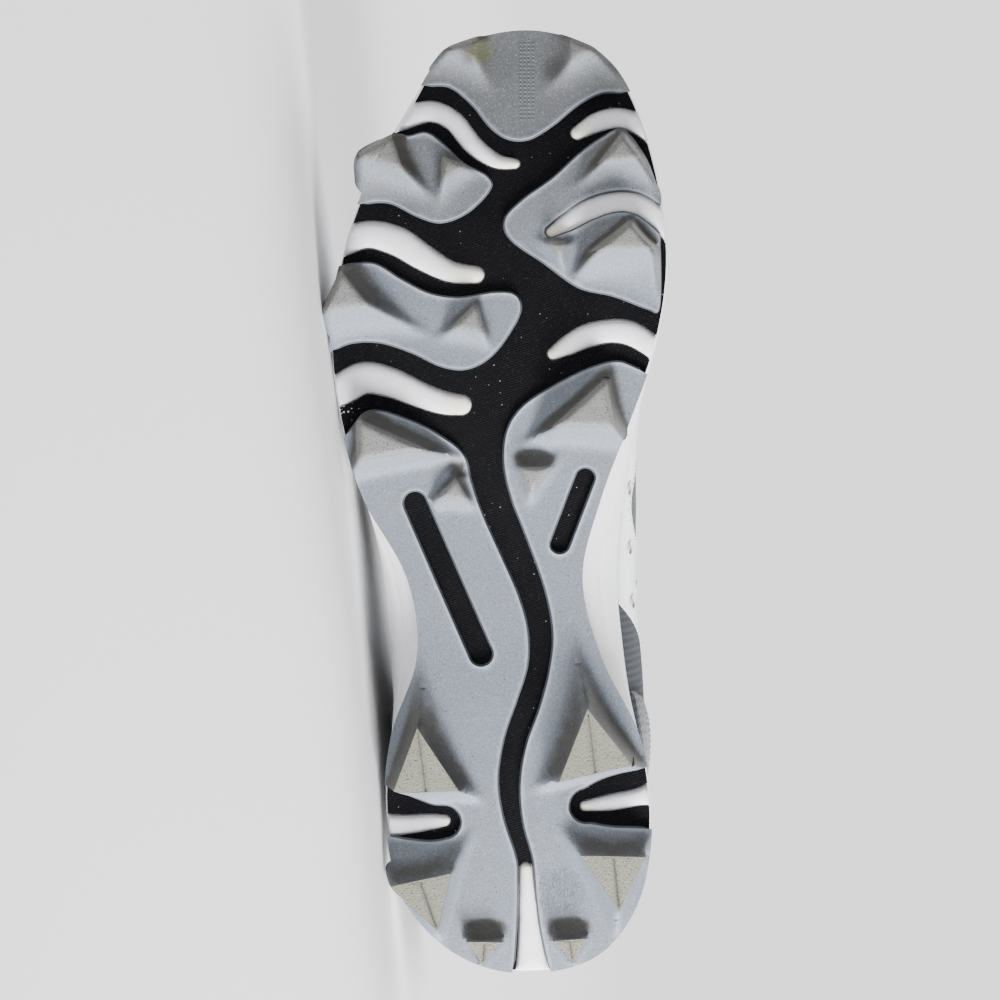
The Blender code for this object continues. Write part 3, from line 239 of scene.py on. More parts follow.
def level(x: Array, column: int) -> Array:
    """The plate's tread face (1) or the foam's top (2) at x, smooth through LEVELS."""
    x = np.asarray(x, float)
    last = len(LEVELS) - 1
    i = np.clip(np.searchsorted(LEVELS[:, 0], x, side="right") - 1, 0, last - 1)
    a, b = LEVELS[i], LEVELS[i + 1]
    before, after = LEVELS[np.maximum(i - 1, 0)], LEVELS[np.minimum(i + 2, last)]
    span = b[..., 0] - a[..., 0]
    t = (x - a[..., 0]) / span
    slope_a = (b[..., column] - before[..., column]) / (b[..., 0] - before[..., 0]) * span
    slope_b = (after[..., column] - a[..., column]) / (after[..., 0] - a[..., 0]) * span
    return (
        a[..., column] * (2 * t**3 - 3 * t**2 + 1) + slope_a * (t**3 - 2 * t**2 + t)
        + b[..., column] * (3 * t**2 - 2 * t**3) + slope_b * (t**3 - t**2)
    )


def low(x: Array) -> Array:
    """The height of the plate's tread face."""
    return level(x, 1)


def high(x: Array) -> Array:
    """The height of the foam's top."""
    return level(x, 2)


def smoothstep(value: Array, start: float, end: float) -> Array:
    """0 before start, 1 after end, smooth between."""
    t = np.clip((value - start) / (end - start), 0, 1)
    return t * t * (3 - 2 * t)


def inside(points: Array, loop: Array) -> Array:
    """Which of the flat points lie inside a closed loop."""
    loop = np.asarray(loop, float)
    ahead = np.roll(loop, -1, axis=0)
    found = np.zeros(len(points), bool)
    x, y = points[:, 0], points[:, 1]
    for (ax, ay), (bx, by) in zip(loop, ahead):
        if ay == by:
            continue
        crosses = (ay > y) != (by > y)
        found ^= crosses & (x < (bx - ax) * (y - ay) / (by - ay) + ax)
    return found


def line_distance(points: Array, line: Array, closed: bool = True) -> Array:
    """The distance of each flat point from a line of segments."""
    line = np.asarray(line, float)
    starts = line if closed else line[:-1]
    ends = np.roll(line, -1, axis=0) if closed else line[1:]
    best = np.full(len(points), 1e9)
    for a, b in zip(starts, ends):
        along = b - a
        size = max(float(along @ along), 1e-12)
        t = np.clip((points - a) @ along / size, 0, 1)
        best = np.minimum(best, np.hypot(*(points - a - t[:, None] * along).T))
    return best


def nearest_row(points: Array, line: Array) -> Array:
    """Which of the line's rows is the nearest to each flat point."""
    return np.hypot(*(points[:, None, k] - line[None, :, k] for k in (0, 1))).argmin(1)


def flat_normals(loop: Array) -> Array:
    """The outward side at each point of a loop that runs from the toe round the lateral side."""
    along = np.roll(loop, -1, axis=0) - np.roll(loop, 1, axis=0)
    along /= np.linalg.norm(along, axis=1)[:, None]
    return np.stack((-along[:, 1], along[:, 0]), axis=1)


def inset(loop: Array, distance: float) -> Array:
    """The loop moved inwards all the way round."""
    return loop - flat_normals(loop) * distance


def ribbon(rows: tuple, grow: float) -> Array:
    """The outline of a band along a centre line, with a round inner end."""
    line = smooth_open(rows, 8)
    along = np.gradient(line[:, :2], axis=0)
    along /= np.linalg.norm(along, axis=1)[:, None]
    side = np.stack((-along[:, 1], along[:, 0]), axis=1) * (line[:, 2:] + grow)
    x, y, half = line[-1]
    start = math.atan2(side[-1, 1], side[-1, 0])
    turns = start - np.pi * np.arange(1, 12) / 12
    cap = np.stack((x + (half + grow) * np.cos(turns), y + (half + grow) * np.sin(turns)), axis=1)
    return np.concatenate((line[:, :2] + side, cap, (line[:, :2] - side)[::-1]))


def capsule(rows: tuple, grow: float) -> Array:
    """The outline of a straight band with both ends round."""
    (x0, y0, half), (x1, y1, _) = rows[0], rows[-1]
    heading = math.atan2(y1 - y0, x1 - x0)
    made = []
    for x, y, start in ((x1, y1, heading - math.pi / 2), (x0, y0, heading + math.pi / 2)):
        turns = start + np.pi * np.arange(13) / 12
        made.append(np.stack((x + (half + grow) * np.cos(turns), y + (half + grow) * np.sin(turns)), axis=1))
    return np.concatenate(made)


def window_outline(rows: tuple) -> Array:
    """The outline of one opening: a tapered band or a straight capsule."""
    return ribbon(rows, 0.0) if rows[0][2] != rows[-1][2] else capsule(rows, 0.0)


# ---------------------------------------------------------------- the frame and meshes
@dataclass(frozen=True)
class ShoeFrame:
    """Where the standing shoe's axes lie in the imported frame.

    Attributes:
        turn: columns are the standing axes in the world.
        shift: the standing origin in the world, in metres.
    """

    turn: Array
    shift: Array

    @classmethod
    def from_record(cls, record: dict) -> "ShoeFrame":
        """Works the frame out from the two treads that the record names as mounts.

        Args:
            record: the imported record.

        Returns:
            The frame.
        """
        standing = {"heel_tread": (64.66667, -30.2, 0.0), "forefoot_tread": (231.73333, 33.6, 0.0)}
        mounts = {m["name"]: m for m in record["mounts"]}
        (p1, w1), (p2, w2) = (
            (np.array(standing[n]), np.array(mounts[n]["pos_m"], float)) for n in standing
        )
        up = -np.array(mounts["heel_tread"]["axis"], float)
        up /= np.linalg.norm(up)
        along_world = w2 - w1 - up * ((w2 - w1) @ up)
        along_world /= np.linalg.norm(along_world)
        along = (p2 - p1) / np.linalg.norm(p2 - p1)
        plain_up = np.array((0.0, 0.0, 1.0))
        world = np.stack((along_world, np.cross(up, along_world), up), axis=1)
        plain = np.stack((along, np.cross(plain_up, along), plain_up), axis=1)
        turn = world @ plain.T
        return cls(turn, w1 - turn @ p1 * MM)

    def place(self, points: Array) -> Array:
        """Standing millimetres as world metres."""
        return np.asarray(points, float) @ self.turn.T * MM + self.shift

    def direction(self, way: tuple[float, float, float]) -> Vector:
        """A standing direction in the world."""
        return Vector(self.turn @ np.array(way, float))


SHOE = ShoeFrame.from_record(frame["record"])


def add_object(name: str, data: bpy.types.ID) -> Piece:
    """Puts a mesh, light or camera into the scene."""
    obj = bpy.data.objects.new(name, data)
    bpy.context.scene.collection.objects.link(obj)
    return obj


def new_piece(
    name: str,
    points: Array,
    faces: list,
    materials: list[Finish],
    kinds: Array | None = None,
    fields: dict[str, Array] | None = None,
    uvs: Array | None = None,
    smooth_angle: float = 35.0,
) -> Piece:
    """Makes a mesh piece from standing millimetres.

    Args:
        name: the piece's name.
        points: one row a vertex.
        faces: vertex numbers of each face.
        materials: the piece's materials in the order of its slots.
        kinds: the slot of each face.
        fields: numbers kept on the vertices for the materials.
        uvs: one row for each face corner.
        smooth_angle: edges sharper than this stay sharp, in degrees.

    Returns:
        The object, at the origin and unturned.
    """
    mesh = bpy.data.meshes.new(name)
    mesh.from_pydata(SHOE.place(points).tolist(), [], [list(map(int, f)) for f in faces])
    for finish in materials:
        mesh.materials.append(finish)
    if kinds is not None:
        mesh.polygons.foreach_set("material_index", np.asarray(kinds, np.int32))
    for title, values in (fields or {}).items():
        layer = mesh.attributes.new(title, "FLOAT", "POINT")
        layer.data.foreach_set("value", np.asarray(values, np.float32))
    if uvs is not None:
        layer = mesh.uv_layers.new(name="cloth")
        layer.data.foreach_set("uv", np.asarray(uvs, np.float32).ravel())
    mesh.polygons.foreach_set("use_smooth", np.ones(len(faces), bool))
    mesh.set_sharp_from_angle(angle=math.radians(smooth_angle))
    mesh.validate()
    mesh.update()
    return add_object(name, mesh)


def face_outwards(obj: Piece) -> None:
    """Makes every face of a closed piece point out."""
    bm = bmesh.new()
    bm.from_mesh(obj.data)
    bmesh.ops.recalc_face_normals(bm, faces=bm.faces)
    bm.to_mesh(obj.data)
    bm.free()


def grid_piece(
    name: str,
    grid: Array,
    materials: list[Finish],
    wrap_rows: bool = False,
    wrap_columns: bool = False,
    kinds: Array | None = None,
    fields: dict[str, Array] | None = None,
    uv: Array | None = None,
    smooth_angle: float = 60.0,
) -> Piece:
    """Makes a piece from a grid of points, its open ends closed by a face.

    Args:
        name: the piece's name.
        grid: rows by columns by three, in standing millimetres.
        materials: the piece's materials.
        wrap_rows: whether the last row joins the first.
        wrap_columns: whether the last column joins the first.
        kinds: the material slot of each column of faces.
        fields: numbers for the materials, rows by columns.
        uv: one row and column more than the grid where it wraps.
        smooth_angle: edges sharper than this stay sharp, in degrees.

    Returns:
        The object.
    """
    rows, columns = grid.shape[:2]
    i = np.arange(rows if wrap_rows else rows - 1)
    j = np.arange(columns if wrap_columns else columns - 1)
    ii, jj = (a.ravel() for a in np.meshgrid(i, j, indexing="ij"))
    i2, j2 = (ii + 1) % rows, (jj + 1) % columns
    quads = np.stack((ii * columns + jj, i2 * columns + jj, i2 * columns + j2, ii * columns + j2), axis=1)
    faces = quads.tolist()
    slots = (kinds[jj] if kinds is not None else np.zeros(len(jj), int)).tolist()
    corner = None
    if uv is not None:
        corner = np.stack((uv[ii, jj], uv[ii + 1, jj], uv[ii + 1, jj + 1], uv[ii, jj + 1]), axis=1)
        corner = corner.reshape(-1, 2)
    if wrap_columns and not wrap_rows:
        ends = [list(range(columns)), [(rows - 1) * columns + k for k in range(columns)][::-1]]
        faces += ends
        slots += [slots[0], slots[0]]
        if corner is not None:
            corner = np.concatenate((corner, uv[0, :columns], uv[rows - 1, :columns][::-1]))
    flat = {k: v.ravel() for k, v in (fields or {}).items()}
    obj = new_piece(name, grid.reshape(-1, 3), faces, materials, slots, flat, corner, smooth_angle)
    face_outwards(obj)
    return obj


def finish_piece(obj: Piece, slot: str, *nodes: str) -> Piece:
    """Rides a piece on the shoe and hides the CAD nodes it stands for.

    Args:
        obj: the piece, in place.
        slot: the record's material slot; not used.
        nodes: the CAD nodes it replaces.

    Returns:
        The same piece.
    """
    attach(obj, BODY)
    if nodes:
        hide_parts(*nodes)
    lowest = min(v.co.z for v in obj.data.vertices) / MM
    LOG.info("%s: %d faces, lowest point %.2f mm", obj.name, len(obj.data.polygons), lowest)
    return obj


# ---------------------------------------------------------------- materials
def srgb(red: int, green: int, blue: int) -> Colour:
    """A colour read off as 0 to 255, in linear light."""
    shares = (c / 255 for c in (red, green, blue))
    return (*(((c + 0.055) / 1.055) ** 2.4 if c > 10 / 255 else c / 12.92 for c in shares), 1.0)


KNIT_TONES = (srgb(27, 30, 36), srgb(50, 54, 62))


class Value:
    """A number in a material on which Python arithmetic adds Math nodes."""

    def __init__(self, recipe: "Recipe", socket: Socket) -> None:
        """Wraps one output socket of a recipe."""
        self.recipe = recipe
        self.socket = socket

    def step(self, operation: str, *terms: "Value | float") -> "Value":
        """One Math node on these terms."""
        node = self.recipe.node("ShaderNodeMath", {"operation": operation}, dict(enumerate(terms)))
        return Value(self.recipe, node.outputs[0])

    def __add__(self, other: "Value | float") -> "Value":
        """self + other."""
        return self.step("ADD", self, other)

    __radd__ = __add__

    def __sub__(self, other: "Value | float") -> "Value":
        """self - other."""
        return self.step("SUBTRACT", self, other)

    def __rsub__(self, other: float) -> "Value":
        """other - self."""
        return self.step("SUBTRACT", other, self)

    def __mul__(self, other: "Value | float") -> "Value":
        """self * other."""
        return self.step("MULTIPLY", self, other)

    __rmul__ = __mul__

    def __gt__(self, other: "Value | float") -> "Value":
        """1 where self is the greater."""
        return self.step("GREATER_THAN", self, other)

    def __lt__(self, other: "Value | float") -> "Value":
        """1 where self is the smaller."""
        return self.step("LESS_THAN", self, other)

    def sine(self) -> "Value":
        """The sine of self in radians."""
        return self.step("SINE", self)

    def size(self) -> "Value":
        """Self without its sign."""
        return self.step("ABSOLUTE", self)

    def smooth(self, start: float, end: float) -> "Value":
        """0 at start, 1 at end, smooth between; start may be the greater."""
        node = self.recipe.node(
            "ShaderNodeMapRange", {"interpolation_type": "SMOOTHSTEP"},
            {0: self, 1: min(start, end), 2: max(start, end)},
        )
        made = Value(self.recipe, node.outputs[0])
        return made if start < end else 1 - made


class Recipe:
    """A material under construction, with its nodes."""

    def __init__(self, name: str) -> None:
        """Starts an empty material with its Principled shader."""
        self.material = bpy.data.materials.new(name)
        self.material.use_nodes = True
        self.tree = self.material.node_tree
        self.shader = self.tree.nodes["Principled BSDF"]
        self.held: dict[str, Socket] = {}

    def node(self, kind: str, settings: dict | None = None, values: dict | None = None) -> bpy.types.Node:
        """Adds one node.

        Args:
            kind: the node's type.
            settings: its properties, set first.
            values: numbers, Values or sockets for its inputs, by name or place.

        Returns:
            The node.
        """
        made = self.tree.nodes.new(kind)
        for name, value in (settings or {}).items():
            setattr(made, name, value)
        for key, value in (values or {}).items():
            self.feed(made.inputs[key], value)
        return made

    def feed(self, socket: Socket, value: object) -> None:
        """Links a Value or socket to an input, or sets it."""
        if isinstance(value, Value):
            self.tree.links.new(value.socket, socket)
        elif isinstance(value, Socket):
            self.tree.links.new(value, socket)
        else:
            socket.default_value = value

    def place(self) -> Socket:
        """Object coordinates turned to the standing shoe's millimetres."""
        if "place" not in self.held:
            coords = self.node("ShaderNodeTexCoord").outputs["Object"]
            turn = Matrix(SHOE.turn.T.tolist())
            back = -(SHOE.turn.T @ SHOE.shift) / MM
            mapped = self.node("ShaderNodeMapping", {"vector_type": "POINT"}, {
                "Vector": coords, "Location": back.tolist(),
                "Rotation": turn.to_euler(), "Scale": (1 / MM,) * 3,
            })
            self.held["place"] = mapped.outputs[0]
        return self.held["place"]

    def cloth(self) -> Socket:
        """The piece's own map, in millimetres."""
        if "cloth" not in self.held:
            self.held["cloth"] = self.node("ShaderNodeUVMap", {"uv_map": "cloth"}).outputs[0]
        return self.held["cloth"]

    def axes(self, vector: Socket) -> tuple[Value, Value, Value]:
        """The three numbers of a vector."""
        parts = self.node("ShaderNodeSeparateXYZ", None, {0: vector}).outputs
        return Value(self, parts[0]), Value(self, parts[1]), Value(self, parts[2])

    def attribute(self, name: str) -> Value:
        """A number kept on the piece's vertices."""
        return Value(self, self.node("ShaderNodeAttribute", {"attribute_name": name}).outputs["Fac"])

    def noise(self, scale: float, detail: float = 2.0, at: Socket | None = None,
              seed: float = 0.0) -> Value:
        """Soft noise from 0 to 1.

        Args:
            scale: waves to a millimetre.
            detail: how many finer layers.
            at: where it is read, the standing place if None.
            seed: moves the pattern.

        Returns:
            The noise.
        """
        place = at or self.place()
        if seed:
            place = self.moved(place, (seed * 31.0,) * 3)
        made = self.node("ShaderNodeTexNoise", None, {"Vector": place, "Scale": scale, "Detail": detail})
        return Value(self, made.outputs[0])

    def moved(self, place: Socket, by: tuple[float, float, float]) -> Socket:
        """A place moved by three numbers."""
        return self.node("ShaderNodeVectorMath", {"operation": "ADD"}, {0: place, 1: by}).outputs[0]

    def cells(self, place: Socket, scale: float) -> bpy.types.bpy_prop_collection:
        """What a cell pattern gives, with so many cells to a millimetre."""
        values = {"Vector": place, "Scale": scale}
        return self.node("ShaderNodeTexVoronoi", {"feature": "F1"}, values).outputs

    def specks(self, scale: float, radius: float, share: float, seed: float = 0.0) -> Value:
        """Small dots: 1 inside a dot.

        Args:
            scale: cells to a millimetre.
            radius: the dot's size as a share of its cell.
            share: how many of the cells have one.
            seed: moves the pattern.

        Returns:
            The mask.
        """
        cell = self.cells(self.moved(self.place(), (seed, seed * 2, seed)), scale)
        drawn = self.axes(cell["Color"])[0]
        return (Value(self, cell["Distance"]) < radius) * (drawn < share)

    def mix(self, factor: Value | float, one: object, two: object) -> Socket:
        """A colour between two."""
        return self.node("ShaderNodeMix", {"data_type": "RGBA"}, {0: factor, 6: one, 7: two}).outputs[2]

    def bump(self, height: Value, depth: float, under: Socket | None = None) -> Socket:
        """A normal bent by a height.

        Args:
            height: from 0 to 1.
            depth: what 1 stands for, in millimetres.
            under: the normal it is laid on.

        Returns:
            The normal.
        """
        values = {"Height": height, "Distance": depth * MM, "Strength": 1.0}
        if under:
            values["Normal"] = under
        return self.node("ShaderNodeBump", None, values).outputs[0]

    def spot(self, x: float, y: float, radius: float, blur: float) -> Value:
        """1 within a circle over the standing place, fading over blur."""
        px, py, _ = self.axes(self.place())
        dx, dy = px - x, py - y
        square = dx * dx + dy * dy
        return square.step("SQRT", square).smooth(radius + blur, radius)

    def done(self, colour: object, roughness: object, normal: object = None, **fixed: object) -> Finish:
        """Feeds the shader and gives the material.

        Args:
            colour: the base colour.
            roughness: the roughness.
            normal: a bent normal, or None.
            fixed: other sockets' numbers, with _ for a space.

        Returns:
            The material.
        """
        self.feed(self.shader.inputs["Base Color"], colour)
        self.feed(self.shader.inputs["Roughness"], roughness)
        if normal:
            self.feed(self.shader.inputs["Normal"], normal)
        for name, value in fixed.items():
            socket = self.shader.inputs[name.replace("_", " ")]
            if isinstance(value, Value):
                self.feed(socket, value)
            else:
                socket.default_value = value
        return self.material


@dataclass(frozen=True)
class Rubber:
    """Moulded grey rubber: specks, soft dirt, beige worn treads; painted shade at the toe, on toe-facing
    claw sides, in pits and grooves; painted highlights on heel-facing sides and the rim.
    """

    name: str = "grey_rubber_moulded"
    body: Colour = srgb(105, 112, 123)
    # Painted shade: the darker rubber towards the toe.
    toe: Colour = srgb(90, 92, 95)
    worn: Colour = srgb(116, 115, 102)
    worn_front: Colour = srgb(115, 115, 114)
    shade: Colour = srgb(50, 44, 31)
    # Painted highlight along the pods' rims.
    rim: Colour = srgb(150, 156, 166)

    def material(self) -> Finish:
        """Builds the material."""
        r = Recipe(self.name)
        x = r.axes(r.place())[0]
        cloud = r.noise(0.055, 3.0)
        blotch = r.noise(0.25, 4.0, seed=4.0)
        grit = r.noise(2.2, 4.0)
        # Painted shade: the rubber darkens towards the toe, which turns away from the key light.
        colour = r.mix((x + cloud * 30.0).smooth(215.0, 290.0), self.body, self.toe)
        colour = r.mix(cloud.smooth(0.35, 0.75) * 0.3, colour, srgb(116, 118, 119))
        colour = r.mix(blotch.smooth(0.5, 0.8) * 0.25, colour, srgb(108, 106, 98))
        # Painted highlight: paler blue-grey on the claws' heel-facing sides.
        colour = r.mix(r.attribute("painted_highlight") * 0.3, colour, srgb(134, 142, 156))
        # Painted shade: dark olive-brown on the claws' toe-facing sides and in the pits.
        shade = (r.attribute("shade") * (0.6 + blotch * 0.8)).smooth(0.05, 1.6)
        colour = r.mix(shade * 0.84, colour, self.shade)
        colour = r.mix(r.noise(1.9, 2.0, seed=2.0).smooth(0.42, 0.72) * 0.42, colour, srgb(70, 72, 76))
        pale = r.noise(1.6, 2.0, seed=6.0).smooth(0.52, 0.78) * (0.34 - shade * 0.24)
        colour = r.mix(pale, colour, srgb(160, 166, 175))
        tread = r.attribute("tread")
        worn = r.mix((x + cloud * 20.0).smooth(110.0, 150.0), self.worn, self.worn_front)
        worn = r.mix(grit.smooth(0.42, 0.68) * 0.55, worn, srgb(82, 79, 68))
        colour = r.mix((tread * (0.55 + grit * 0.7)).smooth(0.25, 0.8) * 0.92, colour, worn)
        # Painted shade in the tread's groove and along its soft fold.
        colour = r.mix(r.attribute("groove") * 0.8, colour, srgb(58, 56, 48))
        # Painted highlight: a paler line along the pods' raised rim.
        colour = r.mix(r.attribute("rim") * 0.65, colour, self.rim)
        colour = r.mix(r.specks(0.7, 0.17, 0.08) * 0.8, colour, srgb(48, 48, 48))
        colour = r.mix(r.specks(1.0, 0.13, 0.05, 7.0) * 0.5, colour, srgb(196, 200, 205))
        dots = r.specks(1.2, 0.25, 0.34, 3.0) * tread
        colour = r.mix(dots * 0.8, colour, srgb(44, 40, 32))
        colour = r.mix(r.specks(1.5, 0.2, 0.2, 9.0) * tread * 0.45, colour, srgb(176, 176, 168))
        # Painted shade: dark spots in the hollows beside the toe claws.
        toe_shade_spots = r.spot(287.0, 11.5, 1.5, 5.0) + r.spot(291.0, -15.5, 0.8, 3.2)
        colour = r.mix(toe_shade_spots * 0.6, colour, srgb(52, 51, 48))
        stains = r.spot(293.0, -12.0, 2.0, 4.0) + r.spot(279.0, 33.0, 1.5, 4.0)
        colour = r.mix(stains * cloud.smooth(0.3, 0.6) * 0.7, colour, srgb(88, 90, 56))
        wave = r.node("ShaderNodeTexNoise", None, {
            "Vector": r.node("ShaderNodeVectorMath", {"operation": "MULTIPLY"},
                             {0: r.place(), 1: (0.35, 2.6, 0.3)}).outputs[0],
            "Scale": 1.0, "Detail": 3.0, "Distortion": 1.2,
        })
        scuffs = (Value(r, wave.outputs[0]) - 0.5).size().smooth(0.035, 0.01) * r.spot(26.0, 13.0, 4.5, 5.0)
        colour = r.mix(scuffs * 0.6, colour, srgb(84, 86, 88))
        fine = r.noise(1.4, 4.0)
        normal = r.bump(cloud, 0.5)
        normal = r.bump(fine * (0.9 + tread * 1.2) + dots * 0.5 - scuffs * 0.5, 0.15, normal)
        return r.done(colour, 0.5 + fine * 0.24, normal, Specular_IOR_Level=0.38)


@dataclass(frozen=True)
class RubberWall:
    """The darker bevel round a pod's edge: the rubber in painted shade."""

    name: str = "grey_rubber_shaded_bevel"
    # Painted shade: darker than the rubber it copies.
    body: Colour = srgb(54, 57, 64)

    def material(self) -> Finish:
        """Builds the material."""
        r = Recipe(self.name)
        cloud = r.noise(0.3, 3.0)
        colour = r.mix(cloud, self.body, srgb(84, 88, 96))
        return r.done(colour, 0.5 + cloud * 0.2, r.bump(r.noise(1.5, 3.0), 0.08))


@dataclass(frozen=True)
class Plate:
    """The black plate's cloth grain, with lint caught in it."""

    name: str = "black_plate_grained"
    body: Colour = srgb(4, 4, 6)

    def material(self) -> Finish:
        """Builds the material."""
        r = Recipe(self.name)
        x, y, _ = r.axes(r.place())
        wobble = r.noise(0.2, 2.0)
        weave = ((x + y * 0.6) * 5.2 + wobble * 7.0).sine() * ((y - x * 0.5) * 5.8 + wobble * 5.0).sine()
        grain = weave * 0.5 + 0.5
        cloud = r.noise(0.08, 4.0)
        colour = r.mix(cloud.smooth(0.35, 0.75), self.body, srgb(9, 9, 11))
        colour = r.mix(grain * 0.3, colour, srgb(20, 20, 24))
        colour = r.mix(r.noise(1.9, 2.0, seed=5.0).smooth(0.56, 0.72) * 0.5, colour, srgb(40, 40, 46))
        colour = r.mix(r.specks(0.8, 0.14, 0.05) * 0.7, colour, srgb(150, 150, 152))
        mesh_patch = r.spot(178.0, -56.0, 3.4, 1.0) * r.specks(0.9, 0.3, 0.6, 5.0)
        colour = r.mix(mesh_patch * 0.8, colour, srgb(190, 190, 190))
        normal = r.bump(grain + r.noise(1.8, 3.0) * 0.5, 0.16)
        return r.done(colour, 0.62 + cloud * 0.2, normal, Specular_IOR_Level=0.07)


@dataclass(frozen=True)
class Foam:
    """Off-white foam with a fine skin, yellowed at the ribs' inner ends."""

    name: str = "white_foam_skin"
    body: Colour = srgb(226, 226, 231)

    def material(self) -> Finish:
        """Builds the material."""
        r = Recipe(self.name)
        cloud = r.noise(0.12, 3.0)
        colour = r.mix(cloud.smooth(0.3, 0.8) * 0.35, self.body, srgb(214, 210, 212))
        colour = r.mix(r.attribute("aged") * (0.4 + cloud), colour, srgb(224, 220, 200))
        # Painted shade: pinkish grey on the toe side of each rib.
        colour = r.mix(r.attribute("shade") * 0.7, colour, srgb(146, 138, 146))
        colour = r.mix(r.noise(1.5, 3.0, seed=3.0).smooth(0.45, 0.75) * 0.22, colour, srgb(176, 174, 178))
        colour = r.mix(r.specks(0.8, 0.12, 0.03) * 0.4, colour, srgb(150, 148, 146))
        normal = r.bump(r.noise(2.0, 3.0), 0.06)
        return r.done(colour, 0.55 + cloud * 0.2, normal, Specular_IOR_Level=0.3)


@dataclass(frozen=True)
class Leather:
    """Coated white leather: pebble grain, grime near the sole, painted shade along the foam's edge and in
    the creases' troughs.
    """

    name: str = "white_leather_coated"
    body: Colour = srgb(232, 235, 240)
    grime: Colour = srgb(188, 184, 172)

    def material(self) -> Finish:
        """Builds the material."""
        r = Recipe(self.name)
        cloud = r.noise(0.06, 4.0)
        colour = r.mix(cloud.smooth(0.35, 0.8) * 0.35, self.body, srgb(216, 221, 229))
        low_dirt = r.attribute("rise").smooth(9.0, 0.0) * (cloud * 1.6)
        colour = r.mix(low_dirt * 0.4, colour, self.grime)
        # Painted shade: bluish grey on the leather just above the foam's edge.
        colour = r.mix(r.attribute("rise").smooth(4.5, 0.4) * 0.6, colour, srgb(146, 156, 176))
        # Painted shade in the creases' troughs.
        colour = r.mix(r.attribute("crease") * 0.5, colour, srgb(172, 172, 175))
        colour = r.mix(r.specks(0.35, 0.1, 0.04) * 0.5, colour, srgb(140, 134, 122))
        knit = r.attribute("knit").smooth(-0.15, 0.15)
        band = r.attribute("band").smooth(-0.15, 0.15) * (1 - knit)
        u, v, _ = r.axes(r.cloth())
        loops = (u * 5.7 + (v * 5.7).sine() * 0.9).sine() * 0.5 + 0.5
        colour = r.mix(band, colour, srgb(17, 17, 20))
        colour = r.mix(knit, colour, r.mix(loops * (0.5 + cloud * 0.8), *KNIT_TONES))
        pebble = Value(r, r.cells(r.place(), 1.1)["Distance"])
        edge = r.attribute("knit").smooth(-0.7, 0.0) * 1.4
        rough = pebble * (1 - knit) + loops * knit * 1.6 - edge * 3.0
        normal = r.bump(rough, 0.12, r.bump(r.noise(0.35, 3.0), 0.22))
        coat = (1 - knit) * (1 - band) * 0.12
        gloss = 0.36 + cloud * 0.2 + knit * 0.35 + band * 0.16
        return r.done(colour, gloss, normal, Coat_Roughness=0.3, Coat_Weight=coat)


class Weave(Enum):
    """How a cloth's threads lie."""

    KNIT = "knit"
    PLAIN = "plain"
    MESH = "mesh"


@dataclass(frozen=True)
class Cloth:
    """Cloth on the piece's own map: threads, fuzz and a little colour change."""

    name: str
    body: Colour
    light: Colour
    weave: Weave
    pitch: float = 1.2
    depth: float = 0.18
    roughness: float = 0.8

    def threads(self, r: Recipe) -> Value:
        """The height of the threads, from 0 to 1."""
        u, v, _ = r.axes(r.cloth())
        turn = 2 * math.pi / self.pitch
        if self.weave is Weave.KNIT:
            bend = (v * turn).sine() * 0.9
            ribs = (u * turn + bend).sine() * 0.5 + 0.5
            return ribs * (0.55 + 0.45 * ((v * turn * 2.0).sine() * 0.5 + 0.5))
        if self.weave is Weave.MESH:
            hole = ((u + v * 0.5) * turn).sine() * ((v - u * 0.5) * turn).sine()
            return hole.smooth(-0.1, 0.45)
        return (u * turn).sine() * (v * turn).sine() * 0.5 + 0.5

    def material(self) -> Finish:
        """Builds the material."""
        r = Recipe(self.name)
        cloud = r.noise(0.1, 3.0)
        threads = self.threads(r)
        colour = r.mix(threads * (0.5 + cloud * 0.8), self.body, self.light)
        colour = r.mix(r.specks(1.1, 0.2, 0.12) * 0.35, colour, self.light)
        normal = r.bump(threads, self.depth, r.bump(r.noise(1.2, 3.0), 0.12))
        gloss = self.roughness + cloud * 0.12
        return r.done(colour, gloss, normal, Sheen_Weight=0.25, Specular_IOR_Level=0.25)


@dataclass(frozen=True)
class Synthetic:
    """A satin synthetic skin with a fine grain."""

    name: str
    body: Colour
    light: Colour
    roughness: float = 0.42

    def material(self) -> Finish:
        """Builds the material."""
        r = Recipe(self.name)
        cloud = r.noise(0.09, 4.0)
        colour = r.mix(cloud.smooth(0.3, 0.8), self.body, self.light)
        colour = r.mix(r.specks(0.6, 0.12, 0.04) * 0.5, colour, srgb(130, 130, 130))
        grain = Value(r, r.cells(r.place(), 2.2)["Distance"])
        normal = r.bump(grain, 0.09, r.bump(r.noise(0.4, 3.0), 0.12))
        return r.done(colour, self.roughness + cloud * 0.18, normal, Specular_IOR_Level=0.4)


@dataclass(frozen=True)
class Thread:
    """Twisted sewing thread, or lacquered wire where it is metal."""

    name: str
    body: Colour
    metal: float = 0.0

    def material(self) -> Finish:
        """Builds the material."""
        r = Recipe(self.name)
        fine = r.noise(2.5, 2.0)
        colour = r.mix(fine, self.body, tuple(0.7 * c for c in self.body[:3]) + (1.0,))
        return r.done(colour, 0.45 + fine * 0.3, r.bump(fine, 0.05), Metallic=self.metal)


@dataclass(frozen=True)
class Ground:
    """A plain pale floor that fades into the surround far from the shoe."""

    name: str = "pale_floor"
    body: Colour = (0.92, 0.92, 0.92, 1.0)
    fade: tuple[float, float] = (1.15, 0.55)

    def material(self) -> Finish:
        """Builds the material."""
        r = Recipe(self.name)
        where = r.node("ShaderNodeTexCoord").outputs["Object"]
        away = r.node("ShaderNodeVectorMath", {"operation": "LENGTH"}, {0: where}).outputs["Value"]
        alpha = Value(r, away).smooth(*self.fade)
        return r.done(self.body, 0.85 + r.noise(0.02, 2.0) * 0.05, Alpha=alpha)


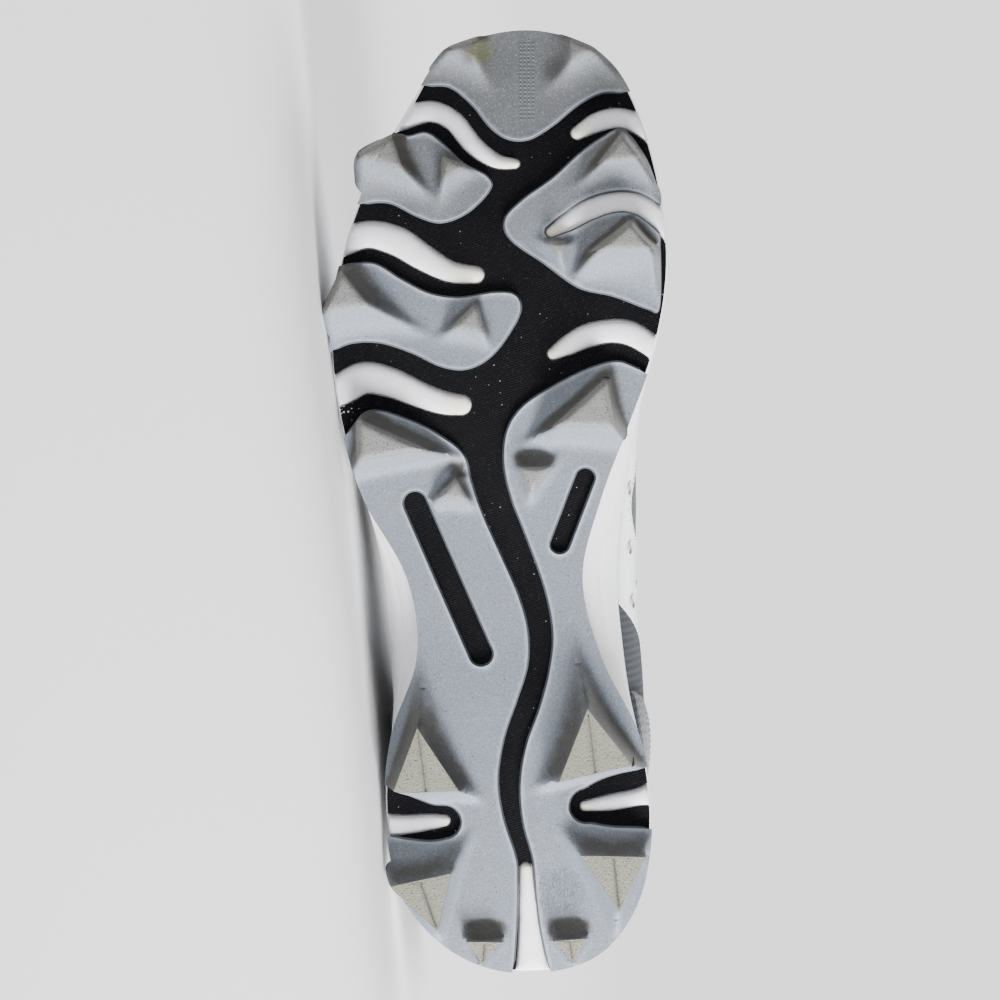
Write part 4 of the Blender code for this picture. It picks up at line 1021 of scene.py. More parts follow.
class Palette:
    """Every material of the shoe, each made once."""

    @staticmethod
    def cloth(name: str, body: tuple[int, ...], light: tuple[int, ...], *rest: object) -> Finish:
        """A cloth from two colours read off as 0 to 255."""
        return Cloth(name, srgb(*body), srgb(*light), *rest).material()

    def __init__(self) -> None:
        """Builds them all."""
        self.rubber = Rubber().material()
        self.shaded_rubber_wall = RubberWall().material()
        self.plate = Plate().material()
        self.foam = Foam().material()
        self.leather = Leather().material()
        self.knit = Cloth("grey_knit_quarter", *KNIT_TONES, Weave.KNIT, 1.1).material()
        self.lining = self.cloth("black_lining", (20, 20, 23), (52, 52, 57), Weave.MESH, 2.2, 0.3)
        self.collar = self.cloth("black_collar_cloth", (18, 18, 20), (46, 46, 50), Weave.KNIT, 1.1)
        self.tongue = self.cloth("black_tongue_mesh", (17, 17, 20), (50, 50, 55), Weave.MESH, 1.8, 0.3)
        self.footbed = self.cloth("black_footbed_cloth", (24, 24, 27), (60, 60, 66), Weave.PLAIN, 1.6)
        self.lace = self.cloth("white_lace_weave", (190, 191, 195), (240, 240, 242),
                               Weave.PLAIN, 1.25, 0.35, 0.78)
        self.eyestay = Synthetic("black_eyestay_skin", srgb(22, 22, 25), srgb(38, 38, 42)).material()
        self.guard = Synthetic("grey_guard_skin", srgb(120, 124, 130), srgb(142, 146, 152), 0.5).material()
        self.pale_thread = Thread("pale_thread", srgb(214, 216, 220)).material()
        self.dark_thread = Thread("dark_thread", srgb(36, 36, 40)).material()
        self.grey_thread = Thread("grey_thread", srgb(110, 113, 120)).material()
        self.eyelet = Thread("black_eyelet_lacquer", srgb(30, 30, 33), 0.6).material()
        self.vent = Thread("beige_vent_mesh", srgb(196, 192, 168)).material()
        self.vent_rim = Thread("vent_rim_leather", srgb(206, 206, 200)).material()
        self.dots = Thread("grey_rubber_dots", srgb(98, 101, 105)).material()
        self.floor = Ground().material()


# ---------------------------------------------------------------- the tread side
@dataclass(frozen=True)
class Claw:
    """One lug of the outsole.

    Attributes:
        pod: the pod it stands on.
        height: how far it stands out, or 0 where its tread is on the ground.
        tread: the corners of its flat tip.
        skirt: the corners of its foot.
        grooved: whether a line runs down its tread.
    """

    pod: str
    height: float
    tread: tuple
    skirt: tuple
    grooved: bool = False

    SAMPLES = 72
    RIDGE_POWER = 1.5
    HOLLOW_POWER = 0.9
    SPREAD = 1.22
    GROOVE_START = 1.5
    GROOVE_STOP = 0.4

    def corners(self) -> Array:
        """All six corners."""
        return np.array((*self.tread, *self.skirt))

    def drop(self, x: Array) -> Array:
        """The full height above the tread face at x."""
        return np.full_like(x, self.height) if self.height else low(x)

    def share(self, points: Array) -> tuple[Array, Array]:
        """How much of the full height the claw has at each point.

        Args:
            points: flat points.

        Returns:
            The share from 0 to 1, and 1 on the flat tread.
        """
        tread, skirt = np.array(self.tread), np.array(self.skirt)
        skirt = tread + (skirt - tread) * self.SPREAD
        turn = np.sign(np.cross(tread[1] - tread[0], tread[2] - tread[0]))
        corners = np.concatenate((tread, skirt))
        near = np.all((points > corners.min(0) - 0.5) & (points < corners.max(0) + 0.5), axis=1)
        local = points[near]
        found = np.full(len(local), 2.0)
        middle = np.zeros(len(local))
        earlier = None
        for k in range(self.SAMPLES + 1):
            s = k / self.SAMPLES
            ring = tread + (skirt - tread) * s
            sides, places = [], []
            for i in range(3):
                a, b = ring[i], ring[(i + 1) % 3]
                along = b - a
                size = np.hypot(*along)
                sides.append(turn * np.cross(along, local - a) / size)
                places.append((local - a) @ along / size**2)
            sides, places = np.array(sides), np.array(places)
            worst = sides.min(0)
            entered = (worst >= -1e-6) & (found > 1.5)
            if k == 0:
                found[entered] = 0.0
            else:
                part = np.clip(earlier / np.minimum(earlier - worst, -1e-9), 0, 1)
                found[entered] = (k - 1 + part[entered]) / self.SAMPLES
                edge = sides.argmin(0)
                u = places[edge, np.arange(len(local))]
                middle[entered] = np.clip(4 * u * (1 - u), 0, 1)[entered]
            earlier = worst
        rise = np.clip(1 - found, 0, 1)
        shares, flat = np.zeros(len(points)), np.zeros(len(points))
        shares[near] = rise ** (self.RIDGE_POWER + self.HOLLOW_POWER * middle)
        flat[near] = found <= 1e-6
        return shares, flat

    def outline(self) -> Array:
        """The claw's silhouette, a loop round its corners."""
        points = [tuple(p) for p in self.corners()]
        centre = np.mean(points, axis=0)
        hull = [min(points)]
        while True:
            here = hull[-1]
            best = next(p for p in points if p != here)
            for p in points:
                turn = (best[0] - here[0]) * (p[1] - here[1]) - (best[1] - here[1]) * (p[0] - here[0])
                if p != here and turn < 0:
                    best = p
            if best == hull[0] or len(hull) > len(points):
                break
            hull.append(best)
        assert inside(np.array([centre]), np.array(hull))[0]
        loop = np.array(hull)
        for _ in range(3):
            ahead = np.roll(loop, -1, axis=0)
            loop = np.stack((loop * 0.82 + ahead * 0.18, loop * 0.18 + ahead * 0.82), axis=1).reshape(-1, 2)
        return loop

    def groove(self) -> tuple[Array, Array]:
        """The line from near the tread's toe or heel corner to the side facing it.

        Returns:
            Its two ends, and its direction.
        """
        tread = np.array(self.tread)
        tip = int(np.argmax([abs(tread[i] - (tread[i - 1] + tread[i - 2]) / 2)[0] for i in range(3)]))
        start, end = tread[tip], (tread[tip - 1] + tread[tip - 2]) / 2
        way = (end - start) / np.linalg.norm(end - start)
        return np.array((start + way * self.GROOVE_START, end - way * self.GROOVE_STOP)), way


CLAWS = (
    Claw("outsole_toe", 6.5, ((294.3, -23.7), (297.6, -12.8), (290.5, -14.0)),
         ((285.5, -30.5), (299.6, -9.0), (280.5, -8.5))),
    Claw("outsole_toe", 6.5, ((297.6, 16.5), (294.0, 25.0), (290.0, 17.0)),
         ((299.4, 12.0), (283.0, 33.5), (280.5, 8.5))),
    Claw("outsole_lateral_front", 9.0, ((265.8, -40.8), (259.3, -52.0), (254.0, -36.8)),
         ((266.8, -36.5), (245.5, -51.0), (245.0, -26.5))),
    Claw("outsole_lateral_front", 5.5, ((258.4, -24.2), (255.8, -16.8), (250.2, -24.6)),
         ((263.0, -25.0), (254.0, -11.5), (241.5, -26.5))),
    Claw("outsole_lateral_mid", 0.0, ((222.5, -56.6), (209.0, -62.5), (211.0, -47.6)),
         ((225.0, -50.0), (199.0, -59.5), (202.5, -29.0))),
    Claw("outsole_lateral_mid", 5.5, ((212.0, -13.4), (204.2, -21.4), (202.3, -10.6)),
         ((215.0, -13.5), (200.5, -27.0), (196.5, -8.0))),
    Claw("outsole_medial_front", 9.0, ((266.6, 33.0), (256.2, 25.0), (258.2, 39.0)),
         ((268.5, 32.5), (248.5, 16.5), (248.0, 44.5))),
    Claw("outsole_medial_front", 0.0, ((238.0, 35.0), (229.0, 43.5), (228.2, 22.3)),
         ((240.5, 36.0), (212.5, 44.8), (219.5, 16.0))),
    Claw("outsole_medial_front", 5.5, ((231.6, 9.4), (231.4, 14.6), (226.2, 12.8)),
         ((233.0, 4.5), (232.5, 19.0), (219.5, 15.0))),
    Claw("outsole_lateral_rear", 0.0, ((175.5, -51.4), (162.0, -51.0), (165.6, -29.0)),
         ((179.0, -47.0), (156.0, -54.5), (163.0, -17.0))),
    Claw("outsole_lateral_rear", 5.5, ((156.4, -20.0), (150.2, -27.0), (149.7, -15.8)),
         ((162.0, -18.5), (146.5, -30.0), (146.5, -13.5))),
    Claw("outsole_medial_rear", 0.0, ((188.0, 27.3), (172.5, 30.0), (173.0, 10.6)),
         ((193.0, 29.5), (165.5, 36.5), (167.5, 0.5))),
    Claw("outsole_medial_rear", 5.5, ((160.0, 0.2), (160.0, 10.5), (151.6, 4.2)),
         ((165.0, -3.0), (164.5, 13.5), (147.5, 3.0))),
    Claw("outsole_lateral_rear", 0.0, ((78.0, -32.0), (57.6, -39.6), (58.4, -19.0)),
         ((98.0, -31.0), (54.6, -43.5), (54.8, -12.0)), True),
    Claw("outsole_lateral_rear", 0.0, ((32.4, -21.5), (28.2, -40.8), (14.5, -25.6)),
         ((44.0, -15.0), (36.0, -42.5), (9.5, -25.5)), True),
    Claw("outsole_lateral_rear", 6.0, ((10.4, -16.5), (10.2, -5.4), (3.4, -11.5)),
         ((17.5, -17.5), (17.0, -4.0), (1.5, -12.0)), True),
    Claw("outsole_medial_rear", 0.0, ((84.0, 21.5), (61.2, 12.6), (66.4, 35.4)),
         ((106.0, 17.5), (58.0, 5.0), (64.0, 41.0)), True),
    Claw("outsole_medial_rear", 0.0, ((38.0, 19.5), (37.6, 39.8), (20.8, 31.5)),
         ((46.5, 12.5), (45.5, 42.5), (11.0, 31.0)), True),
    Claw("outsole_medial_rear", 6.0, ((10.6, 10.6), (11.4, 21.2), (4.0, 17.0)),
         ((17.5, 9.0), (18.0, 23.0), (2.0, 17.5)), True),
)


class FlatSheet:
    """A fine triangle mesh over a flat area, raised to any height and closed below."""

    # How clear of a loop and of a line its inner points stay, as a share of the pitch.
    LOOP_CLEARANCE = 0.4
    LINE_CLEARANCE = 0.25
    SMALLEST = 1e-7

    def __init__(self, pitch: float) -> None:
        """Starts an empty area.

        Args:
            pitch: the distance between its inner points.
        """
        self.pitch = pitch
        self.keep: list[list[Array]] = []
        self.cut: list[Array] = []
        self.lines: list[Array] = []
        self.finer: list[tuple[Array, float]] = []

    def within(self, *loops: Array) -> None:
        """Keeps what lies in any of these loops; each call narrows it."""
        self.keep.append([np.asarray(loop) for loop in loops])

    def without(self, loop: Array) -> None:
        """Leaves out what lies in a loop."""
        self.cut.append(np.asarray(loop))

    def covers(self, points: Array) -> Array:
        """Which points lie in the area."""
        kept = np.ones(len(points), bool)
        for loops in self.keep:
            kept &= np.any([inside(points, loop) for loop in loops], axis=0)
        for loop in self.cut:
            kept &= ~inside(points, loop)
        return kept

    def spread(self, lows: Array, highs: Array, pitch: float) -> Array:
        """Points of a triangle pattern over a box."""
        step = pitch * math.sqrt(3) / 2
        rows = np.arange(lows[1], highs[1], step)
        columns = np.arange(lows[0], highs[0], pitch)
        x, y = np.meshgrid(columns, rows)
        x = x + (np.arange(len(rows)) % 2)[:, None] * pitch / 2
        return np.stack((x.ravel(), y.ravel()), axis=1)

    def build(self) -> tuple[Array, Array]:
        """Makes the flat mesh.

        Returns:
            The points and the triangles over them.
        """
        loops = [loop for loops in self.keep for loop in loops] + self.cut
        every = np.concatenate(self.keep[0])
        lows, highs = every.min(0), every.max(0)
        for loops_here in self.keep[1:]:
            both = np.concatenate(loops_here)
            lows, highs = np.maximum(lows, both.min(0)), np.minimum(highs, both.max(0))
        points = self.spread(lows, highs, self.pitch)
        for loop, pitch in self.finer:
            points = points[~inside(points, loop)]
            extra = self.spread(loop.min(0), loop.max(0), pitch)
            extra = extra[inside(extra, loop)]
            points = np.concatenate((points, extra))
        points = points[self.covers(points)]
        clear = np.full(len(points), 1e9)
        for loop in loops:
            clear = np.minimum(clear, line_distance(points, loop))
        for line in self.lines:
            share = self.LOOP_CLEARANCE / self.LINE_CLEARANCE
            clear = np.minimum(clear, line_distance(points, line, False) * share)
        points = points[clear > self.pitch * self.LOOP_CLEARANCE]
        corners = [Vector(p) for p in points.tolist()]
        edges = []
        for line, closed in [(loop, True) for loop in loops] + [(line, False) for line in self.lines]:
            start = len(corners)
            corners += [Vector(p) for p in np.asarray(line).tolist()]
            count = len(line)
            edges += [(start + k, start + (k + 1) % count) for k in range(count if closed else count - 1)]
        flat, _, faces, *_ = delaunay_2d_cdt(corners, edges, [], 0, 1e-5)
        flat = np.array([tuple(p) for p in flat])
        faces = np.array([f for f in faces if len(f) == 3])
        middles = flat[faces].mean(1)
        area = np.cross(flat[faces[:, 1]] - flat[faces[:, 0]], flat[faces[:, 2]] - flat[faces[:, 0]])
        kept = self.covers(middles) & (np.abs(area) > self.SMALLEST)
        faces, turned = faces[kept], area[kept] > 0
        faces[turned] = faces[turned][:, ::-1]
        used = np.unique(faces)
        number = np.full(len(flat), -1)
        number[used] = np.arange(len(used))
        return flat[used], number[faces]


@dataclass
class Body:
    """The points and faces of a closed body, before it is a piece."""

    points: Array
    faces: list
    kinds: list
    fields: dict[str, Array]

    def joined(self, other: "Body") -> "Body":
        """Both bodies as one."""
        count = len(self.points)
        faces = self.faces + [[v + count for v in f] for f in other.faces]
        fields = {
            n: np.concatenate([one.fields.get(n, np.zeros(len(one.points))) for one in (self, other)])
            for n in self.fields | other.fields
        }
        return Body(np.concatenate((self.points, other.points)), faces, self.kinds + other.kinds, fields)

    def piece(self, name: str, *materials: Finish, smooth_angle: float = 35.0) -> Piece:
        """The body as a mesh piece."""
        return new_piece(name, self.points, self.faces, list(materials), self.kinds, self.fields,
                         smooth_angle=smooth_angle)


def closed_body(
    flat: Array,
    faces: Array,
    under: Array,
    over: Array,
    flare: Array,
    fields: dict[str, Array],
    bevel: float,
) -> Body:
    """A body between its tread side and its hidden side, its wall sloping outwards.

    Args:
        flat: the flat points.
        faces: triangles facing the tread side.
        under: the tread side's height at each point.
        over: the hidden side's height.
        flare: how far the wall runs out at the hidden side.
        fields: numbers of the tread side's points.
        bevel: how far down the wall its rounded edge reaches.

    Returns:
        The body; its wall and hidden side are of kind 1.
    """
    count = len(flat)
    edges = np.concatenate((faces[:, (0, 1)], faces[:, (1, 2)], faces[:, (2, 0)]))
    keys = {tuple(e) for e in edges.tolist()}
    rim = [(a, b) for a, b in keys if (b, a) not in keys]
    side = np.zeros((count, 2))
    for a, b in rim:
        along = flat[b] - flat[a]
        way = np.array((-along[1], along[0]))
        size = np.hypot(*way)
        if size > TINY:
            side[a] += way / size
            side[b] += way / size
    sizes = np.hypot(*side.T)
    side[sizes > TINY] /= sizes[sizes > TINY][:, None]
    rim_points = np.unique(np.array(rim))
    place = {int(v): i for i, v in enumerate(rim_points)}
    deep = np.minimum(bevel, (over - under) * 0.5)
    ring_count = len(rim_points)
    edge_ring = np.column_stack((
        flat[rim_points] + side[rim_points] * (flare[rim_points] * 0.25)[:, None],
        under[rim_points] + deep[rim_points],
    ))
    top = np.column_stack((flat, under))
    back = np.column_stack((flat, over))
    back[rim_points, :2] += side[rim_points] * flare[rim_points][:, None]
    points = np.concatenate((top, edge_ring, back))
    made = faces.tolist()
    kinds = [0] * len(made)
    for a, b in rim:
        ea, eb = count + place[a], count + place[b]
        ba, bb = count + ring_count + a, count + ring_count + b
        made += [[b, a, ea, eb], [eb, ea, ba, bb]]
        kinds += [0, 1]
    made += (faces[:, ::-1] + count + ring_count).tolist()
    kinds += [1] * len(faces)
    kept = {n: np.concatenate((v, v[rim_points], v)) for n, v in fields.items()}
    return Body(points, made, kinds, kept)


def sole_loops(per_row: int = 8) -> tuple[Array, Array]:
    """The plate's outline and the foam's rim."""
    rows = catmull(SOLE, np.arange(len(SOLE) * per_row) / per_row, True)
    return rows[:, :2], rows[:, 2:]


def clockwise(loop: Array) -> Array:
    """The loop in the order of SOLE, seen from above."""
    ahead = np.roll(loop, -1, axis=0)
    return loop if np.sum(loop[:, 0] * ahead[:, 1] - ahead[:, 0] * loop[:, 1]) < 0 else loop[::-1]


@dataclass
class Field:
    """Heights on a square grid, read at any point."""

    start: Array
    step: float
    heights: Array

    def at(self, points: Array) -> Array:
        """The height at flat points, between the grid's own."""
        spot = np.clip((points - self.start) / self.step, 0, np.array(self.heights.shape) - 1.001)
        i, j = spot.astype(int).T
        u, v = (spot - spot.astype(int)).T
        h = self.heights
        near, far = (h[i, k] * (1 - u) + h[i + 1, k] * u for k in (j, j + 1))
        return near * (1 - v) + far * v


def soften(heights: Array, width: float) -> Array:
    """A grid of heights, blurred both ways."""
    reach = int(width * 3) + 1
    weights = np.exp(-0.5 * (np.arange(-reach, reach + 1) / width) ** 2)
    weights /= weights.sum()
    for axis in (0, 1):
        padded = np.moveaxis(np.pad(heights, reach, mode="edge"), axis, 0)
        rows = padded.shape[0] - 2 * reach
        mixed = sum(w * padded[k:k + rows] for k, w in enumerate(weights))
        heights = np.moveaxis(mixed, 0, axis)
        heights = heights[:, reach:-reach] if axis == 0 else heights[reach:-reach]
    return heights


# Hollows on the toe side of the small claws: middle x and y, half length, half width.
PITS = ((14.2, -10.6, 3.2, 7.2), (14.6, 15.8, 3.2, 7.0), (163.0, 4.6, 2.9, 6.6), (160.0, -18.4, 2.5, 4.0))
PIT_DEPTH = 0.9


@dataclass
class Outsole:
    """The grey rubber pods with their claws, and the black plate between them."""

    palette: Palette
    pitch: float = 1.1
    claw_pitch: float = 0.62
    bevel: float = 0.5
    flare: float = 0.75
    rim_width: float = 0.55
    rim_rise: float = 0.22
    groove_depth: float = 0.35
    groove_half: float = 0.4
    fold_half: float = 2.0
    shade_blur: float = 1.3
    web_pitch: float = 2.0
    field_step: float = 0.4
    softness: float = 0.95
    slope_step: float = 0.4
    crisp_fade: tuple[float, float] = (130.0, 100.0)
    heel_end: float = 115.0

    def __post_init__(self) -> None:
        """Works out the outline once."""
        self.plate, _ = sole_loops()

    def pod_loop(self, name: str) -> Array:
        """The outline of one pod, open past the sole's edge."""
        edge, corners = PODS[name]
        if corners:
            return clockwise(np.concatenate((smooth_open(edge, 6), np.array(corners))))
        return clockwise(catmull(edge, np.arange(len(edge) * 6) / 6, True))

    def sharp_reach(self, claws: list[Claw], points: Array) -> tuple[Array, Array]:
        """How far up a claw each point is before its corners are softened, and where the treads are."""
        total = np.zeros(len(points))
        flat = np.zeros(len(points))
        tip = np.zeros(len(points))
        for claw in claws:
            share, tread = claw.share(points)
            drop = claw.drop(points[:, 0])
            total += (share * drop) ** 4
            tip = np.where(tread > 0, drop, tip)
            flat = np.maximum(flat, tread)
        reach = total ** 0.25
        return np.where(flat > 0, tip, np.minimum(reach, low(points[:, 0]))), flat

    def soft_reach(self, claws: list[Claw], loop: Array) -> Field:
        """The pod's claws as a softened height field."""
        lows, highs = loop.min(0) - 4.0, loop.max(0) + 4.0
        x = np.arange(lows[0], highs[0], self.field_step)
        y = np.arange(lows[1], highs[1], self.field_step)
        grid = np.stack(np.meshgrid(x, y, indexing="ij"), axis=-1).reshape(-1, 2)
        reach, _ = self.sharp_reach(claws, grid)
        heights = soften(reach.reshape(len(x), len(y)), self.softness / self.field_step)
        return Field(lows, self.field_step, heights)

    def dark_sides(self, soft: Field) -> Field:
        """How steep the claws' toe-facing sides are, blurred, which is where painted shade is laid."""
        along, across = np.gradient(soft.heights, soft.step)
        steep = np.hypot(along, across)
        dark = steep * smoothstep(-along / np.maximum(steep, 1e-6), -0.4, 0.4)
        return Field(soft.start, soft.step, soften(dark, self.shade_blur / soft.step))

    def tread_height(self, claws: list[Claw], soft: Field, points: Array) -> tuple[Array, ...]:
        """The height of a pod's tread side.

        Args:
            claws: the pod's claws.
            soft: their softened heights.
            points: flat points.

        Returns:
            The height, where the flat treads are, and how far up a claw each point is.
        """
        sharp, flat = self.sharp_reach(claws, points)
        blurred = soft.at(points)
        away = np.full(len(points), 9.0)
        for claw in claws:
            tread = np.array(claw.tread)
            away = np.minimum(away, line_distance(points, tread))
        away = np.where(flat > 0, 0.0, away)
        crisp = smoothstep(away, 2.4, 0.0) * smoothstep(points[:, 0], *self.crisp_fade)
        reach = blurred + (sharp - blurred) * crisp
        front = points[:, 0] > self.heel_end
        worn = smoothstep(away, np.where(front, 0.9, 0.45), -0.3)
        flat = np.where(front, worn, np.maximum(flat, worn))
        reach = reach - PIT_DEPTH * self.pit(points)
        return low(points[:, 0]) - reach, flat, reach

    def pit(self, points: Array) -> Array:
        """How deep in a hollow each flat point is, from 0 to 1."""
        deep = np.zeros(len(points))
        for x, y, long, wide in PITS:
            along, across = np.abs(points[:, 0] - x) / long, np.abs(points[:, 1] - y) / wide
            away = (along**3 + across**3) ** (1 / 3)
            deep = np.maximum(deep, smoothstep(away, 1.35, 0.5))
        return deep

    def pod(self, name: str) -> Piece:
        """Builds one pod."""
        claws = [c for c in CLAWS if c.pod == name]
        loop = self.pod_loop(name)
        overhung = [c.outline() for c in claws if not inside(c.corners(), self.plate).all()]
        sheet = FlatSheet(self.pitch)
        sheet.within(loop)
        sheet.within(self.plate, *overhung)
        holes = [window_outline(rows) for rows in WINDOWS.get(name, ())]
        if name == "outsole_medial_front":
            holes.append(ribbon(RIBS["medial_mid"], GAP))
        for hole in holes:
            sheet.without(hole)
        for claw in claws:
            tread = np.array(claw.tread)
            if tread[:, 0].max() < self.crisp_fade[1]:
                sheet.lines.append(np.concatenate((tread, tread[:1])))
            sheet.finer.append((claw.outline(), self.claw_pitch))
            if claw.grooved:
                ends, way = claw.groove()
                side = np.array((-way[1], way[0])) * self.groove_half
                sheet.lines += [ends + shift for shift in (-side, 0 * side, side)]
        flat, faces = sheet.build()
        soft = self.soft_reach(claws, loop)
        under, tread, reach = self.tread_height(claws, soft, flat)
        step = self.slope_step
        ahead, behind = (self.tread_height(claws, soft, flat + (k, 0.0))[2] for k in (step, -step))
        edge = np.minimum.reduce([line_distance(flat, one) for one in [loop, *holes]])
        outer = line_distance(flat, self.plate)
        inner = smoothstep(outer, 0.5, 3.0)
        groove = np.zeros(len(flat))
        for claw in claws:
            if claw.grooved:
                near = line_distance(flat, claw.groove()[0], False)
                fold = smoothstep(-near, -self.fold_half, 0.0) * 0.4
                groove = np.maximum.reduce((groove, fold, smoothstep(-near, -self.groove_half, -0.05)))
        # The rim gets a raised bead, and the material a painted highlight along it.
        rim = smoothstep(-edge, -self.rim_width * 1.6, -self.rim_width * 0.6) * inner
        low_rim = rim * smoothstep(-reach, -1.2, -0.2)
        under = under - low_rim * self.rim_rise + groove * self.groove_depth
        outside = np.where(inside(flat, self.plate), 0.0, outer)
        furthest = max(outside.max(), 1.0)
        hang = np.clip(outside / furthest, 0, 1)
        hang = np.where(outside > 0.05, np.maximum(hang, 0.15), hang)
        over = (low(flat[:, 0]) + POD_THICKNESS) * (1 - hang) + (under + 0.6) * hang
        over = np.maximum(over, under + 0.3)
        # Painted shade on the toe-facing sides and in the pits, painted highlight on the heel-facing sides.
        shade = self.dark_sides(soft).at(flat) * smoothstep(reach, -1.6, 1.4)
        shade += self.pit(flat) * (1 - tread) * 1.35
        painted_highlight = smoothstep((ahead - behind) / (2 * step), 0.25, 1.1)
        fields = {"tread": tread, "rim": low_rim, "groove": groove,
                  "shade": np.clip(shade, 0, 1.8), "painted_highlight": painted_highlight}
        flare = self.flare * inner
        body = closed_body(flat, faces, under, over, flare, fields, self.bevel)
        obj = body.piece(name.replace("outsole", "pod"), self.palette.rubber, self.palette.shaded_rubber_wall)
        return finish_piece(obj, "grey_rubber", name)

    def web(self) -> Piece:
        """Builds the black plate, with a slot for each foam rib."""
        sheet = FlatSheet(self.web_pitch)
        sheet.within(inset(self.plate, 0.8))
        for rows in RIBS.values():
            sheet.without(ribbon(rows, GAP))
        flat, faces = sheet.build()
        base = low(flat[:, 0])
        body = closed_body(flat, faces, base + WEB_LOW, base + WEB_LOW + WEB_THICKNESS, 0 * base, {}, 0.2)
        obj = body.piece("web_plate", self.palette.plate, self.palette.plate)
        return finish_piece(obj, "black_plate", "outsole_web")

    def build(self) -> None:
        """Builds every piece of the tread side."""
        for name in PODS:
            self.pod(name)
        self.web()


@dataclass
class Midsole:
    """White foam: a stepped wall, and domed ribs that come down through the plate."""

    palette: Palette
    rib_pitch: float = 0.9
    rib_crown: float = 1.7
    centre_line: tuple = (
        (22.0, 0.0), (60.0, 0.0), (110.0, -2.5), (150.0, -8.0), (200.0, -7.0), (250.0, -2.0), (282.0, 2.0),
    )

    PROFILE = (
        (0.0, 0.0, 1.2), (0.05, 0.02, 0.5), (0.12, 0.05, 0.2), (0.24, 0.2, -0.1), (0.36, 0.37, -0.3),
        (0.42, 0.45, -0.25), (0.455, 0.5, 0.3), (0.48, 0.54, 0.75), (0.505, 0.56, 0.7), (0.53, 0.59, 0.0),
        (0.56, 0.62, -0.4), (0.66, 0.73, -0.5), (0.8, 0.88, -0.35), (0.92, 1.0, 0.0), (0.97, 1.0, 0.35),
        (1.0, 1.0, 0.9),
    )

    def wall(self) -> Body:
        """The main body, closed over a centre line above and below."""
        plate, rim = sole_loops()
        spine = catmull(self.centre_line, np.linspace(0, len(self.centre_line) - 1, 120), False)
        rings = []
        for up, across, inward in self.PROFILE:
            mixed = inset(plate + (rim - plate) * across, inward)
            x = mixed[:, 0]
            z = (low(x) + FOAM_LOW) * (1 - up) + high(x) * up
            rings.append(np.column_stack((mixed, z)))
        caps = []
        for ring, height in ((rings[0], lambda x: low(x) + FOAM_LOW), (rings[-1], high)):
            target = spine[nearest_row(ring, spine)]
            layers = []
            for t in (0.25, 0.5, 0.75, 0.98):
                flat = ring[:, :2] + (target - ring[:, :2]) * t
                layers.append(np.column_stack((flat, height(flat[:, 0]))))
            caps.append(layers)
        grid = np.array([*caps[0][::-1], *rings, *caps[1]])
        rows, columns = grid.shape[:2]
        i, j = (a.ravel() for a in np.meshgrid(np.arange(rows - 1), np.arange(columns), indexing="ij"))
        here, beside = i * columns + j, i * columns + (j + 1) % columns
        quads = np.stack((here, beside, beside + columns, here + columns), axis=1)
        ends = [list(range(columns))[::-1], [(rows - 1) * columns + k for k in range(columns)]]
        faces = quads.tolist() + ends
        return Body(grid.reshape(-1, 3), faces, [0] * len(faces), {})

    def ribs(self) -> Body:
        """All the ribs, each domed across."""
        plate, _ = sole_loops()
        bound = inset(plate, 1.0)
        made = None
        for rows in RIBS.values():
            loop = ribbon(rows, 0.0)
            sheet = FlatSheet(self.rib_pitch)
            sheet.within(loop)
            sheet.within(bound)
            flat, faces = sheet.build()
            line = smooth_open(rows, 8)
            nearest = nearest_row(flat, line)
            half = line[nearest, 2]
            edge = np.minimum(line_distance(flat, loop), line_distance(flat, bound) + 0.6)
            across = 1 - np.clip(edge / half, 0, 1)
            base = low(flat[:, 0]) + RIB_LOW
            under = base + self.rib_crown * (1 - np.sqrt(np.clip(1 - across**2, 0, 1)))
            over = low(flat[:, 0]) + FOAM_LOW + 0.8
            along = nearest / len(line)
            toeward = flat[:, 0] - line[nearest, 0]
            shade = smoothstep(toeward / half, 0.25, 1.0)
            fields = {"aged": smoothstep(along, 0.7, 1.0), "shade": shade}
            body = closed_body(flat, faces, under, over, 0 * over, fields, 0.3)
            body.kinds = [0] * len(body.faces)
            made = body if made is None else made.joined(body)
        return made

    def build(self) -> None:
        """Builds the foam as one piece."""
        body = self.wall().joined(self.ribs())
        obj = body.piece("foam_midsole", self.palette.foam, smooth_angle=50.0)
        face_outwards(obj)
        finish_piece(obj, "white_foam", "midsole")


# ---------------------------------------------------------------- the upper
def unit(vectors: Array) -> Array:
    """Each vector made one long."""
    return vectors / np.maximum(np.linalg.norm(vectors, axis=-1, keepdims=True), TINY)


def from_ends(count: int) -> Array:
    """How many steps each of so many places is from the nearer end."""
    return np.minimum(np.arange(count), np.arange(count)[::-1])


def wrapped_map(u: Array, v: Array) -> Array:
    """The map of a grid whose columns wrap, with its first column again at the end."""
    uv = np.stack(np.broadcast_arrays(u, v), axis=-1)
    return np.concatenate((uv, uv[:, :1]), axis=1)


